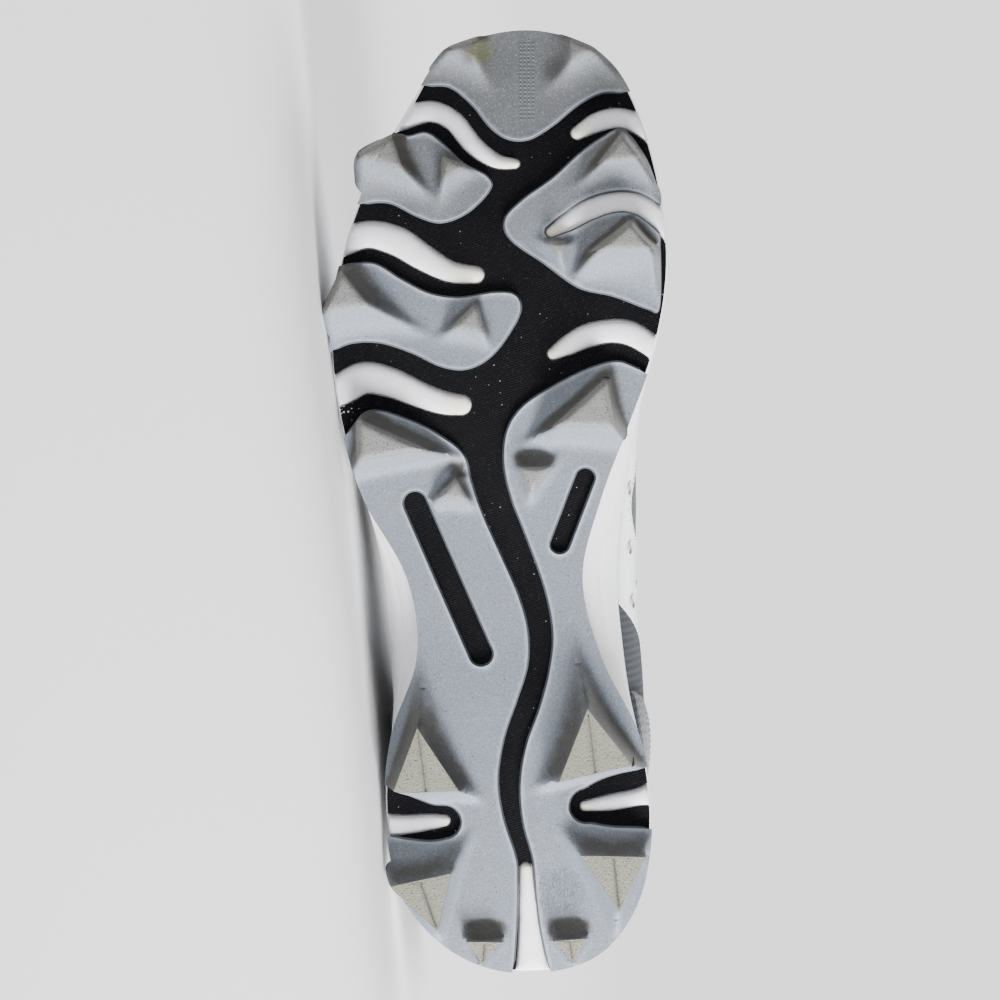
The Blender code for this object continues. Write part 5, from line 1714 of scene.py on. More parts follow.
class LastShape:
    """The upper's outer face, from the feather edge to the throat or collar."""

    STEPS = 80
    # x at y = 0, lean, bend, half width, depth (ridges above zero), middle y, reach in y.
    VAMP_CREASES = (
        (219.0, 0.2, -0.012, 3.2, -1.6, 12.0, 26.0), (226.5, -0.1, -0.01, 3.6, 0.8, 0.0, 28.0),
        (234.5, 0.12, -0.012, 3.4, -1.5, -10.0, 26.0), (243.5, -0.12, -0.008, 4.2, -1.0, 12.0, 20.0),
        (252.0, 0.1, -0.01, 5.0, -0.5, -4.0, 17.0),
    )
    ANKLE_CREASES = ((131.0, 3.2, -0.7), (138.5, 3.6, 0.45), (146.0, 3.4, -0.45))

    def lines(self, at: Array) -> Array:
        """Fine points up the wall at each station."""
        at = np.atleast_1d(at)
        rows = catmull(LAST, at, True)
        along = unit(catmull(LAST, at + 0.25, True)[:, :2] - catmull(LAST, at - 0.25, True)[:, :2])
        out = np.column_stack((-along[:, 1], along[:, 0], np.zeros(len(at))))
        foot = np.column_stack((rows[:, 0], rows[:, 1], high(rows[:, 0]) + GAP))
        top = rows[:, 2:5]
        inwards = unit((foot - top) * (1.0, 1.0, 0.0))
        up = np.array((0.0, 0.0, 1.0))
        one = foot + out * rows[:, 6:7] + up * rows[:, 5:6]
        two = top + inwards * rows[:, 7:8] - up * rows[:, 8:9]
        t = np.linspace(0, 1, self.STEPS + 1)[None, :, None]
        u = 1 - t
        return (foot[:, None] * u**3 + one[:, None] * 3 * u * u * t + two[:, None] * 3 * u * t * t
                + top[:, None] * t**3)

    def length(self, at: Array) -> Array:
        """The wall's length at each station."""
        return np.linalg.norm(np.diff(self.lines(at), axis=1), axis=2).sum(1)

    def raw(self, at: Array, down: Array) -> Array:
        """Points so far below the top edge, without creases."""
        lines = self.lines(at)
        pieces = np.linalg.norm(np.diff(lines, axis=1), axis=2)
        lengths = np.concatenate((np.zeros((len(lines), 1)), np.cumsum(pieces, axis=1)), axis=1)
        goal = lengths[:, -1] - down
        i = np.clip((lengths < goal[:, None]).sum(1) - 1, 0, self.STEPS - 1)
        n = np.arange(len(lines))
        share = (goal - lengths[n, i]) / np.maximum(pieces[n, i], TINY)
        return lines[n, i] + (lines[n, i + 1] - lines[n, i]) * share[:, None]

    def normal(self, at: Array, down: Array) -> Array:
        """The way out at those points."""
        below, above = np.maximum(down, 0.6) + 0.6, np.maximum(down, 0.6) - 0.6
        up = self.raw(at, above) - self.raw(at, below)
        round_way = self.raw(at + 0.06, down) - self.raw(at - 0.06, down)
        return -unit(np.cross(round_way, up))

    def relief(self, points: Array) -> tuple[Array, Array]:
        """The height of the creases at raw points, and how deep in one each is."""
        x, y, z = points.T
        height, deep = np.zeros(len(points)), np.zeros(len(points))
        for start, lean, bend, half, depth, middle, span in self.VAMP_CREASES:
            wave = np.exp(-(((x - start - lean * y - bend * y * y) / half) ** 2)) * smoothstep(z, 40.0, 58.0)
            wave *= np.exp(-(((y - middle) / span) ** 2))
            height += depth * wave
            deep = np.maximum(deep, wave * (depth < 0))
        for start, half, depth in self.ANKLE_CREASES:
            wave = np.exp(-(((x - start + 0.55 * (z - 70.0)) / half) ** 2))
            outer = smoothstep(z, 48.0, 66.0) * smoothstep(np.abs(y), 12.0, 20.0)
            wave *= outer * smoothstep(x, 175.0, 160.0)
            height += depth * wave
            deep = np.maximum(deep, wave * (depth < 0))
        return height, deep

    def surface(self, at: object, down: object, lift: object = 0.0) -> tuple[Array, ...]:
        """Points on the worn outer face.

        Args:
            at: stations round the shoe.
            down: how far below the top edge, in millimetres.
            lift: how far out of the face.

        Returns:
            The points, the way out there, and how deep in a crease each is.
        """
        at, down = np.broadcast_arrays(np.atleast_1d(np.asarray(at, float)), np.asarray(down, float))
        points, out = self.raw(at, down), self.normal(at, down)
        height, deep = self.relief(points)
        lifted = height + lift
        return points + out * np.reshape(lifted, (-1, 1)), out, deep

    def station(self, top_x: float, between: tuple[float, float]) -> float:
        """The station of one side at which the throat's edge has this x."""
        start, end = between
        rising = catmull(LAST, end, True)[0, 2] > catmull(LAST, start, True)[0, 2]
        for _ in range(30):
            middle = (start + end) / 2
            if (catmull(LAST, middle, True)[0, 2] < top_x) == rising:
                start = middle
            else:
                end = middle
        return (start + end) / 2

    def eyelets(self) -> list[tuple[float, float]]:
        """Lateral and medial stations of each eyelet pair, from the toe up."""
        return [(self.station(x, LATERAL_THROAT), self.station(x, MEDIAL_THROAT)) for x in EYELET_X]

    def vents(self) -> tuple[Array, Array]:
        """The vent holes: points and the way out."""
        stations, downs = [], []
        for start, end in ((5, 11), (23, 28)):
            tried = start + (end - start) * np.arange(61) / 60
            for x, up in VENTS:
                at = tried[np.argmin(np.abs(catmull(LAST, tried, True)[:, 0] - x))]
                stations.append(at)
                downs.append(self.length(at)[0] - up)
        points, out, _ = self.surface(np.array(stations), np.array(downs))
        return points, out


class Fitting(Enum):
    """What is set at each point."""

    RING = "ring"
    DOT = "dot"


class Repeats:
    """Geometry Nodes for rows of stitches and for fittings set at points."""

    RING_STEPS = 24
    TUBE_STEPS = 8

    def __init__(self) -> None:
        """Builds the trees."""
        self.row = self.row_tree()
        self.sets = {kind: self.set_tree(kind) for kind in Fitting}

    def start(self, name: str, numbers: tuple[str, ...]) -> Tree:
        """A tree with a geometry, so many numbers and a material going in."""
        tree = bpy.data.node_groups.new(name, "GeometryNodeTree")
        tree.interface.new_socket("Geometry", in_out="INPUT", socket_type="NodeSocketGeometry")
        for number in numbers:
            tree.interface.new_socket(number, in_out="INPUT", socket_type="NodeSocketFloat")
        tree.interface.new_socket("Material", in_out="INPUT", socket_type="NodeSocketMaterial")
        tree.interface.new_socket("Geometry", in_out="OUTPUT", socket_type="NodeSocketGeometry")
        return tree

    def node(self, tree: Tree, kind: str, settings: dict, values: dict) -> bpy.types.Node:
        """Adds one node, its settings first, then numbers or links."""
        made = tree.nodes.new(kind)
        for name, value in settings.items():
            setattr(made, name, value)
        for key, value in values.items():
            if isinstance(value, Socket):
                tree.links.new(value, made.inputs[key])
            else:
                made.inputs[key].default_value = value
        return made

    def way_out(self, tree: Tree) -> Socket:
        """The way out that is kept on the points."""
        kind = {"data_type": "FLOAT_VECTOR"}
        return self.node(tree, "GeometryNodeInputNamedAttribute", kind, {"Name": "out"}).outputs["Attribute"]

    def ball(self, tree: Tree, segments: int, rings: int, radius: float) -> Socket:
        """A small ball."""
        sizes = {"Segments": segments, "Rings": rings, "Radius": radius}
        return self.node(tree, "GeometryNodeMeshUVSphere", {}, sizes).outputs[0]

    def close(self, tree: Tree, points: Socket, shape: Socket, turn: Socket, scale: object,
              finish: Socket) -> None:
        """Ends a tree: the shape at every point, as real, smooth, finished geometry."""
        placed = self.node(tree, "GeometryNodeInstanceOnPoints", {}, {
            "Points": points, "Instance": shape, "Rotation": turn, "Scale": scale,
        })
        real = self.node(tree, "GeometryNodeRealizeInstances", {}, {0: placed.outputs[0]})
        soft = self.node(tree, "GeometryNodeSetShadeSmooth", {}, {0: real.outputs[0]})
        dressed = self.node(tree, "GeometryNodeSetMaterial", {}, {0: soft.outputs[0], "Material": finish})
        self.node(tree, "NodeGroupOutput", {}, {0: dressed.outputs[0]})

    def row_tree(self) -> Tree:
        """One stitch at every pitch along each path."""
        tree = self.start("sewn_rows", ("Pitch", "Length", "Width"))
        given = self.node(tree, "NodeGroupInput", {}, {}).outputs
        curve = self.node(tree, "GeometryNodeMeshToCurve", {}, {0: given["Geometry"]})
        spaced = self.node(tree, "GeometryNodeResampleCurve", {"mode": "LENGTH"},
                           {"Curve": curve.outputs[0], "Length": given["Pitch"]})
        along = self.node(tree, "GeometryNodeInputTangent", {}, {})
        turn = self.node(tree, "FunctionNodeAxesToRotation", {"primary_axis": "Z", "secondary_axis": "X"},
                         {0: self.way_out(tree), 1: along.outputs[0]})
        scale = self.node(tree, "ShaderNodeCombineXYZ", {},
                          {0: given["Length"], 1: given["Width"], 2: given["Width"]})
        self.close(tree, spaced.outputs[0], self.ball(tree, 6, 4, 0.5), turn.outputs[0], scale.outputs[0],
                   given["Material"])
        return tree

    def set_tree(self, kind: Fitting) -> Tree:
        """One ring or dot at every point, facing out."""
        tree = self.start(f"set_{kind.value}", ("Radius", "Tube"))
        given = self.node(tree, "NodeGroupInput", {}, {}).outputs
        turn = self.node(tree, "FunctionNodeAlignRotationToVector", {"axis": "Z"},
                         {"Vector": self.way_out(tree)})
        if kind is Fitting.RING:
            path, tube = (
                self.node(tree, "GeometryNodeCurvePrimitiveCircle", {},
                          {"Resolution": steps, "Radius": given[size]})
                for steps, size in ((self.RING_STEPS, "Radius"), (self.TUBE_STEPS, "Tube"))
            )
            shape = self.node(tree, "GeometryNodeCurveToMesh", {},
                              {"Curve": path.outputs[0], "Profile Curve": tube.outputs[0]}).outputs[0]
            scale: object = (1.0, 1.0, 1.0)
        else:
            shape = self.ball(tree, 10, 6, 1.0)
            scale = self.node(tree, "ShaderNodeCombineXYZ", {},
                              {0: given["Radius"], 1: given["Radius"], 2: given["Tube"]}).outputs[0]
        self.close(tree, given["Geometry"], shape, turn.outputs[0], scale, given["Material"])
        return tree

    def run(self, name: str, tree: Tree, paths: list[Path], joined: bool,
            numbers: dict[str, float], finish: Finish) -> Piece:
        """Runs a tree and keeps its result as a plain mesh.

        Args:
            name: the piece's name.
            tree: the tree.
            paths: points and the way out at each, one pair a path.
            joined: whether each path's points are joined by edges.
            numbers: the tree's sizes by name, in millimetres.
            finish: the material.

        Returns:
            The piece.
        """
        points = np.concatenate([p for p, _ in paths])
        outs = np.concatenate([o for _, o in paths])
        edges, start = [], 0
        for path, _ in paths:
            edges += [(start + k, start + k + 1) for k in range(len(path) - 1)] if joined else []
            start += len(path)
        mesh = bpy.data.meshes.new(name)
        mesh.from_pydata(SHOE.place(points).tolist(), edges, [])
        layer = mesh.attributes.new("out", "FLOAT_VECTOR", "POINT")
        layer.data.foreach_set("vector", (outs @ SHOE.turn.T).astype(np.float32).ravel())
        source = add_object(name, mesh)
        modifier = source.modifiers.new("repeat", "NODES")
        modifier.node_group = tree
        for item in tree.interface.items_tree:
            if item.in_out == "INPUT" and item.name in numbers:
                modifier[item.identifier] = numbers[item.name] * MM
            if item.in_out == "INPUT" and item.name == "Material":
                modifier[item.identifier] = finish
        bpy.context.view_layer.update()
        plain = bpy.data.meshes.new_from_object(source.evaluated_get(bpy.context.evaluated_depsgraph_get()))
        bpy.data.objects.remove(source)
        return add_object(name, plain)

    def stitches(self, name: str, paths: list[Path], finish: Finish, slot: str,
                 pitch: float = 2.4, length: float = 1.9, width: float = 0.55) -> None:
        """Rows of stitches along paths."""
        sizes = {"Pitch": pitch, "Length": length, "Width": width}
        finish_piece(self.run(name, self.row, paths, True, sizes, finish), slot)

    def fittings(self, name: str, kind: Fitting, points: Array, outs: Array,
                 radius: float, tube: float, finish: Finish, slot: str) -> None:
        """A ring or dot at each point."""
        sizes = {"Radius": radius, "Tube": tube}
        finish_piece(self.run(name, self.sets[kind], [(points, outs)], False, sizes, finish), slot)


def cut_holes(obj: Piece, points: Array, outs: Array, radius: float, depth: float = 12.0) -> None:
    """Cuts round holes through a piece.

    Args:
        obj: the piece.
        points: the holes' middles.
        outs: the way each is cut.
        radius: of each hole.
        depth: the length of each cut.
    """
    bm = bmesh.new()
    for point, out in zip(points, outs):
        place = Matrix.Translation(Vector(SHOE.place(point[None])[0]))
        turn = SHOE.direction(out).to_track_quat("Z", "Y").to_matrix().to_4x4()
        bmesh.ops.create_cone(bm, cap_ends=True, segments=20, radius1=radius * MM, radius2=radius * MM,
                              depth=depth * MM, matrix=place @ turn)
    mesh = bpy.data.meshes.new("cutter")
    bm.to_mesh(mesh)
    bm.free()
    tool = add_object("cutter", mesh)
    modifier = obj.modifiers.new("holes", "BOOLEAN")
    modifier.operation = "DIFFERENCE"
    modifier.solver = "EXACT"
    modifier.object = tool
    bpy.context.view_layer.update()
    cut = bpy.data.meshes.new_from_object(obj.evaluated_get(bpy.context.evaluated_depsgraph_get()))
    obj.modifiers.clear()
    obj.data = cut
    bpy.data.objects.remove(tool)


@dataclass
class Upper:
    """The white shell with its overlays, padded collar, eyelets, vents and seams."""

    palette: Palette
    last: LastShape
    repeats: Repeats
    per_station: int = 9
    wall_rows: int = 40
    lining_rows: int = 18
    padding: tuple[float, float] = (8.6, 24.2)
    knit_start: tuple[float, float] = (115.0, 118.0)
    knit_slope: float = 1.3
    band_middle: float = 150.0
    band_low: float = 10.5
    band_rise: float = 12.0
    band_half: float = 12.5
    stay_depth: float = 16.0
    stay_taper: float = 7.0
    stay_round: float = 3.4

    # Pitch, length and width of the finer seams.
    FINE_STITCH = (2.2, 1.7, 0.5)
    # Stations at which the collar's band runs out.
    COLLAR_ENDS = (8.4, 24.4)
    COLLAR_END_HALF = 0.6
    # Over the collar's outside: depth below the top edge, how proud it stands.
    COLLAR_OUTSIDE = ((5.0, 0.15), (4.4, 0.6), (2.8, 0.85), (1.2, 0.8))
    # Over its roll: share of the wall's thickness inwards, share upwards.
    COLLAR_ROLL = ((-0.06, 0.2), (0.12, 0.32), (0.35, 0.42), (0.6, 0.42), (0.82, 0.3), (0.98, 0.1))
    COLLAR_DEEP = 36.0
    COLLAR_CHANNEL = (13.0, 1.4, -0.5)
    # Up its hidden back, inside the wall.
    COLLAR_BACK = (36.0, 24.0, 12.0, 5.0)

    def tones(self, at: Array, rise: Array) -> tuple[Array, Array]:
        """How far inside the knit quarter and the black top band each point is, in millimetres.

        Args:
            at: stations.
            rise: heights up the wall.

        Returns:
            Both distances, above zero inside.
        """
        x = catmull(LAST, at, True)[:, 0]
        start = np.where(at > HEEL_STATION, self.knit_start[1], self.knit_start[0])
        knit = (start - x) * self.knit_slope - rise
        band = rise - self.band_low - self.band_rise * ((x - self.band_middle) / self.band_half) ** 2
        return knit, band

    def shell(self) -> None:
        """The hollow shell, its lining and its holes."""
        at = np.arange(len(LAST) * self.per_station) / self.per_station
        lengths = self.last.length(at)
        outer_share = np.linspace(0, 1, self.wall_rows)
        inner_share = np.linspace(1, 0, self.lining_rows)
        columns, rises, creases = [], [], []
        for share in outer_share:
            points, _, deep = self.last.surface(at, lengths * (1 - share))
            columns.append(points)
            rises.append(lengths * share)
            creases.append(deep)
        edge, out, _ = self.last.surface(at, 0.0 * at)
        crest = unit(edge - self.last.surface(at, 0.0 * at + CREST_PROBE)[0])
        for t, lift in ((0.2, 0.3), (0.5, 0.42), (0.8, 0.3)):
            columns.append(edge - out * WALL * t + crest * WALL * lift)
            rises.append(lengths)
            creases.append(0 * at)
        for share in inner_share:
            points, out, _ = self.last.surface(at, lengths * (1 - share))
            inner = points - out * WALL
            if share == 0:
                inner[:, 2] = high(inner[:, 0]) + GAP
            columns.append(inner)
            rises.append(lengths * share)
            creases.append(0 * at)
        grid = np.stack(columns, axis=1)
        rise = np.stack(rises, axis=1)
        knit, band = np.array([self.tones(at, r) for r in rise.T]).transpose(1, 2, 0)
        by_collar = np.any([np.abs(at - end) < self.COLLAR_END_HALF for end in self.COLLAR_ENDS], axis=0)
        band[by_collar, self.wall_rows - 1:self.wall_rows + 3] = 3.0
        outward = self.wall_rows + 3
        kinds = np.where(np.arange(grid.shape[1]) < outward - 1, 0, 1)
        u = np.append(at, len(LAST))[:, None] * STATION_SPAN
        v = np.concatenate((rise, rise[:, :1]), axis=1)
        v = np.concatenate((v, v[:1]), axis=0)
        uv = np.stack((np.broadcast_to(u, v.shape), v), axis=-1)
        # crease sets painted shade in the troughs; rise sets the grime and painted shade along the foam's
        # edge.
        fields = {"rise": rise, "crease": np.stack(creases, axis=1), "knit": knit, "band": band}
        materials = [self.palette.leather, self.palette.lining]
        obj = grid_piece("upper_shell", grid, materials, True, True, kinds, fields, uv)
        cut_holes(obj, *self.eyelet_places(), EYELET_RADIUS)
        vents, vent_ways = self.last.vents()
        cut_holes(obj, vents, vent_ways, VENT_RADIUS, 8.0)
        finish_piece(obj, "white_leather", "upper")

    def layer(self, name: str, at: Array, downs: Array, lift: float,
              finish: Finish) -> Piece:
        """An overlay cut from the upper's face, with soft edges.

        Args:
            name: the piece's name.
            at: its stations.
            downs: depths below the top edge, stations by columns.
            lift: how far its back stands off the face.
            finish: its material.

        Returns:
            The piece.
        """
        count = downs.shape[1]
        edge = from_ends(count)
        soft = OVERLAY_THICKNESS * np.where(edge == 0, 0.35, np.where(edge == 1, 0.85, 1.0))
        seat = lift * np.where(edge == 0, 0.08, np.where(edge == 1, 0.6, 1.0))
        ends = from_ends(len(at))
        end_soft = np.where(ends == 0, 0.4, np.where(ends == 1, 0.9, 1.0))
        back, front = [], []
        for k in range(count):
            back.append(self.last.surface(at, downs[:, k], seat[k])[0])
            front.append(self.last.surface(at, downs[:, k], seat[k] + soft[k] * end_soft)[0])
        grid = np.stack([*back, *front[::-1]], axis=1)
        uv = wrapped_map(at[:, None] * STATION_SPAN, np.concatenate((downs, downs[:, ::-1]), axis=1))
        return grid_piece(name, grid, [finish], False, True, uv=uv)

    def row(self, at: Array, down: Array, lift: float) -> tuple[Array, Array]:
        """A seam's path on the upper, lifted off its face."""
        points, out, _ = self.last.surface(at, down, lift)
        return points, out

    def eyelet_places(self, lift: float = 0.0) -> Path:
        """The middle of each eyelet and the way out there."""
        pairs = np.array(self.last.eyelets()).ravel()
        return self.row(pairs, 0 * pairs + EYELET_INSET, lift)

    def eyestay(self) -> None:
        """The black band round the throat, its holes, eyelets and double seam."""
        at = np.linspace(MEDIAL_THROAT[0], len(LAST) + LATERAL_THROAT[1], 150)
        deep = self.stay_depth - self.stay_taper * np.exp(-(((at - len(LAST)) / self.stay_round) ** 2))
        downs = 0.8 + (deep - 0.8)[:, None] * np.linspace(1, 0, 14)
        obj = self.layer("eyestay_band", at, downs, OVERLAY_LIFT, self.palette.eyestay)
        cut_holes(obj, *self.eyelet_places(), EYELET_RADIUS)
        finish_piece(obj, "black_synthetic", "eyestay")
        top = OVERLAY_LIFT + OVERLAY_THICKNESS
        self.repeats.fittings("eyelets", Fitting.RING, *self.eyelet_places(top + 0.1),
                              EYELET_RADIUS + 0.35, 0.5, self.palette.eyelet, "black_synthetic")
        inner = at[4:-4]
        lines = (0 * inner + 2.6, deep[4:-4] - 3.6, deep[4:-4] - 1.8)
        rows = [self.row(inner, down, top + 0.05) for down in lines]
        self.repeats.stitches("eyestay_seams", rows, self.palette.grey_thread, "black_synthetic")

    def panel(self, name: str, first: float, last: float, tall: float, lift: float, finish: Finish,
              node: str) -> None:
        """A panel that stands on the feather edge, with a seam along its top."""
        at = np.linspace(first, last, int((last - first) * 9) + 1)
        lengths = self.last.length(at)
        arch = np.clip(np.sin(np.pi * (at - first) / (last - first)), 0, 1) ** 0.55
        heights = 3.0 + tall * arch
        steps = np.linspace(0, 1, 16)
        downs = lengths[:, None] - 1.0 - (heights - 1.0)[:, None] * steps
        obj = self.layer(name, at, downs, lift, finish)
        finish_piece(obj, "grey_synthetic", node)
        inner = slice(4, -4)
        rows = [
            self.row(at[inner], (lengths - heights + back)[inner], lift + OVERLAY_THICKNESS + 0.05)
            for back in (2.0, 4.2)
        ]
        self.repeats.stitches(name + "_seams", rows, self.palette.grey_thread, "grey_synthetic",
                              *self.FINE_STITCH)

    def tone_seams(self) -> None:
        """Seams along the edges of the knit quarter and of the black band."""
        rows = []
        for first, last in ((23.1, 20.9), (8.75, 10.6)):
            at = np.linspace(first, last, 60)
            x = catmull(LAST, at, True)[:, 0]
            start = self.knit_start[1] if first > HEEL_STATION else self.knit_start[0]
            rise = (start - x) * self.knit_slope
            for side in (1.4, 3.4):
                keep = (rise + side > 1.5) & (rise + side < self.last.length(at) - 4.0)
                rows.append(self.row(at[keep], (self.last.length(at) - rise - side)[keep], 0.1))
        for first, last in ((5.5, 9.0), (23.2, 27.5)):
            at = np.linspace(first, last, 160)
            x = catmull(LAST, at, True)[:, 0]
            rise = self.band_low - 2.2 + self.band_rise * ((x - self.band_middle) / self.band_half) ** 2
            keep = (rise < 46.0) & (rise < (x - 122.0) * 3.0 + 30.0)
            rows.append(self.row(at[keep], (self.last.length(at) - rise)[keep], 0.1))
        self.repeats.stitches("quarter_seams", [r for r in rows if len(r[0]) > 2], self.palette.pale_thread,
                              "white_leather", 2.3, 1.7, 0.45)

    def collar(self) -> None:
        """The padded collar: a roll over the top edge and its lining down inside."""
        at = np.linspace(*self.padding, 150)
        lengths = self.last.length(at)
        full = catmull(LAST, at, True)[:, 9]
        ends = np.clip(np.minimum(at - self.padding[0], self.padding[1] - at) / 0.5, 0.25, 1.0)
        edge, out, _ = self.last.surface(at, 0 * at)
        crest = unit(edge - self.last.surface(at, 0 * at + CREST_PROBE)[0])
        columns = []

        def wall_point(down: float, depth: Array) -> Array:
            """A point so far down and so deep into the shoe."""
            points, way, _ = self.last.surface(at, 0 * at + down)
            return points - way * np.reshape(depth, (-1, 1))

        for down, proud in self.COLLAR_OUTSIDE:
            columns.append(wall_point(down, -proud * ends))
        for share, lift in self.COLLAR_ROLL:
            columns.append(edge - out * (full * share)[:, None] + crest * (full * lift)[:, None])
        sewn, sewn_half, sewn_depth = self.COLLAR_CHANNEL
        for down in np.linspace(2.0, self.COLLAR_DEEP, 16):
            share = np.clip(1 - down / lengths, 0, 1)
            padded = smoothstep(share, 0.5, 0.8)
            puff = 0.45 * np.sin(np.pi * np.clip(down / self.COLLAR_DEEP, 0, 1)) ** 0.5
            channel = sewn_depth * np.exp(-(((down - sewn) / sewn_half) ** 2))
            depth = WALL + (full - WALL) * padded + (puff + channel) * ends
            columns.append(wall_point(down, depth))
        for down in self.COLLAR_BACK:
            columns.append(wall_point(down, np.full(len(at), WALL * 0.55)))
        grid = np.stack(columns, axis=1)
        v = np.cumsum(np.concatenate(((0.0,), np.linalg.norm(np.diff(grid[75], axis=0), axis=1))))
        uv = wrapped_map(at[:, None] * STATION_SPAN, v)
        obj = grid_piece("padded_collar", grid, [self.palette.collar], False, True, uv=uv)
        finish_piece(obj, "black_textile")
        rows = [self.row(at[3:-3], 0 * at[3:-3] + 6.0, 0.1)]
        self.repeats.stitches("collar_seam", rows, self.palette.dark_thread, "black_textile",
                              *self.FINE_STITCH)

    def vents(self) -> None:
        """The vents' rims and the mesh behind them."""
        points, ways = self.last.vents()
        self.repeats.fittings("vent_rims", Fitting.RING, points, ways, VENT_RADIUS + 0.15, 0.35,
                              self.palette.vent_rim, "white_leather")
        self.repeats.fittings("vent_mesh", Fitting.DOT, points - ways * 0.35, ways, VENT_RADIUS - 0.02, 0.3,
                              self.palette.vent, "white_leather")

    def build(self) -> None:
        """Builds every piece of the upper."""
        self.shell()
        self.eyestay()
        self.panel("heel_quarter", 10.0, 22.0, 34.0, COUNTER_LIFT, self.palette.knit, "heel_counter")
        self.panel("toe_cap_guard", 30.0, 35.0, 13.0, OVERLAY_LIFT, self.palette.guard, "toe_guard")
        self.tone_seams()
        self.collar()
        self.vents()


@dataclass
class Tongue:
    """The padded tongue, from the vamp to its free end over the instep."""

    palette: Palette
    last: LastShape
    repeats: Repeats
    thickness: float = 4.0
    crown: float = 1.4
    root_gap: float = 1.3
    root_reach: float = 8.0
    map_width: float = 48.0
    map_length: float = 150.0
    lean: tuple[float, float, float] = (0.62, 0.0, 0.78)

    # Stations of the five points across its root, under the vamp.
    ROOT = (1.9, 1.0, 0.0, -1.0, -1.9)

    # x, underlap, gap of the part under the throat.
    HIDDEN = ((203.0, 11.0, 1.1), (192.0, 11.0, 1.1), (180.0, 11.0, 1.1), (167.0, 11.0, 1.1),
              (154.0, 10.0, 1.4), (142.0, 6.0, 3.0))
    # Centre x, y, z, half width, crown, side drop of the free part.
    FREE = ((126.0, 0.0, 111.0, 13.0, 2.5, 3.0), (115.0, 0.0, 119.0, 19.5, 4.0, 5.0),
            (104.0, 0.0, 128.0, 21.5, 5.0, 6.0), (98.0, 0.0, 133.0, 18.0, 4.0, 4.0))

    def guide(self) -> Array:
        """Five points across at each guide row."""
        up = np.array((0.0, 0.0, 1.0))
        ahead = np.array(self.ROOT) % len(LAST)
        deep = catmull(LAST, ahead, True)[:, 9:10] + self.root_gap
        reach = np.full(len(self.ROOT), self.root_reach)
        start = self.last.raw(ahead, reach) - self.last.normal(ahead, reach) * deep
        rows = [tuple(start)]
        for x, underlap, gap in self.HIDDEN:
            sides = []
            for between in (LATERAL_THROAT, MEDIAL_THROAT):
                at = self.last.station(x, between)
                depth = catmull(LAST, at, True)[0, 9] + gap
                under, edge = self.last.raw(np.array([at, at]), np.array([underlap, 0.0]))
                under_out, edge_out = self.last.normal(np.array([at, at]), np.array([underlap, 0.0]))
                sides.append((under - under_out * depth, edge - edge_out * depth))
            (low_l, edge_l), (low_m, edge_m) = sides
            rows.append((low_l, edge_l, (edge_l + edge_m) / 2 + up * self.crown, edge_m, low_m))
        lean, wide = np.array(self.lean), np.array((0.0, 1.0, 0.0))
        for x, y, z, half, crown, side in self.FREE:
            centre = np.array((x, y, z))
            rows.append((
                centre - wide * half - lean * side, centre - wide * half * 0.62 - lean * side * 0.3,
                centre + lean * crown * 0.25, centre + wide * half * 0.62 - lean * side * 0.3,
                centre + wide * half - lean * side,
            ))
        return np.array(rows)

    def build(self) -> None:
        """Builds the tongue, its edge seam and its quilting."""
        guide = self.guide()
        rows, columns = 90, 33
        lengthways = catmull(guide.reshape(len(guide), -1), np.linspace(0, len(guide) - 1, rows), False)
        lengthways = lengthways.reshape(rows, 5, 3)
        top = np.array([catmull(row, np.linspace(0, 4, columns), False) for row in lengthways])
        down_way = np.gradient(top, axis=0)
        across = np.gradient(top, axis=1)
        out = unit(np.cross(down_way, across))
        out *= np.sign((out @ np.array(self.lean)).mean())
        share = np.linspace(0, 1, columns)[None, :]
        along = np.linspace(0, 1, rows)[:, None]
        depth = self.thickness * (0.3 + 0.7 * np.sin(np.pi * share) ** 0.6)
        free = smoothstep(along, 0.655, 0.748)
        quilt = -0.45 * sum(np.exp(-(((share - s) / 0.018) ** 2)) for s in (0.2, 0.8)) * free
        quilt = quilt - 0.4 * sum(np.exp(-(((along - s) / 0.008) ** 2)) for s in (0.784, 0.874)) * free
        end = 0.35 * smoothstep(along, 0.9, 1.0) * np.sin(np.pi * share)
        face = top + out * (quilt + end)[..., None]
        back = top - out * depth[..., None]
        grid = np.concatenate((face, back[:, ::-1]), axis=1)
        u, v = np.linspace(0, self.map_width, columns), np.linspace(0, self.map_length, rows)
        uv = wrapped_map(np.concatenate((u, u[::-1])), v[:, None])
        obj = grid_piece("padded_tongue", grid, [self.palette.tongue], False, True, uv=uv)
        finish_piece(obj, "black_textile", "tongue")
        first = int(rows * 0.675)
        paths = []
        for column in (2, columns - 3):
            paths.append((face[first:, column] + out[first:, column] * 0.12, out[first:, column]))
        paths.append((face[-3, 2:-2] + out[-3, 2:-2] * 0.12, out[-3, 2:-2]))
        self.repeats.stitches("tongue_seam", paths, self.palette.grey_thread, "black_textile", 2.4, 1.8, 0.5)


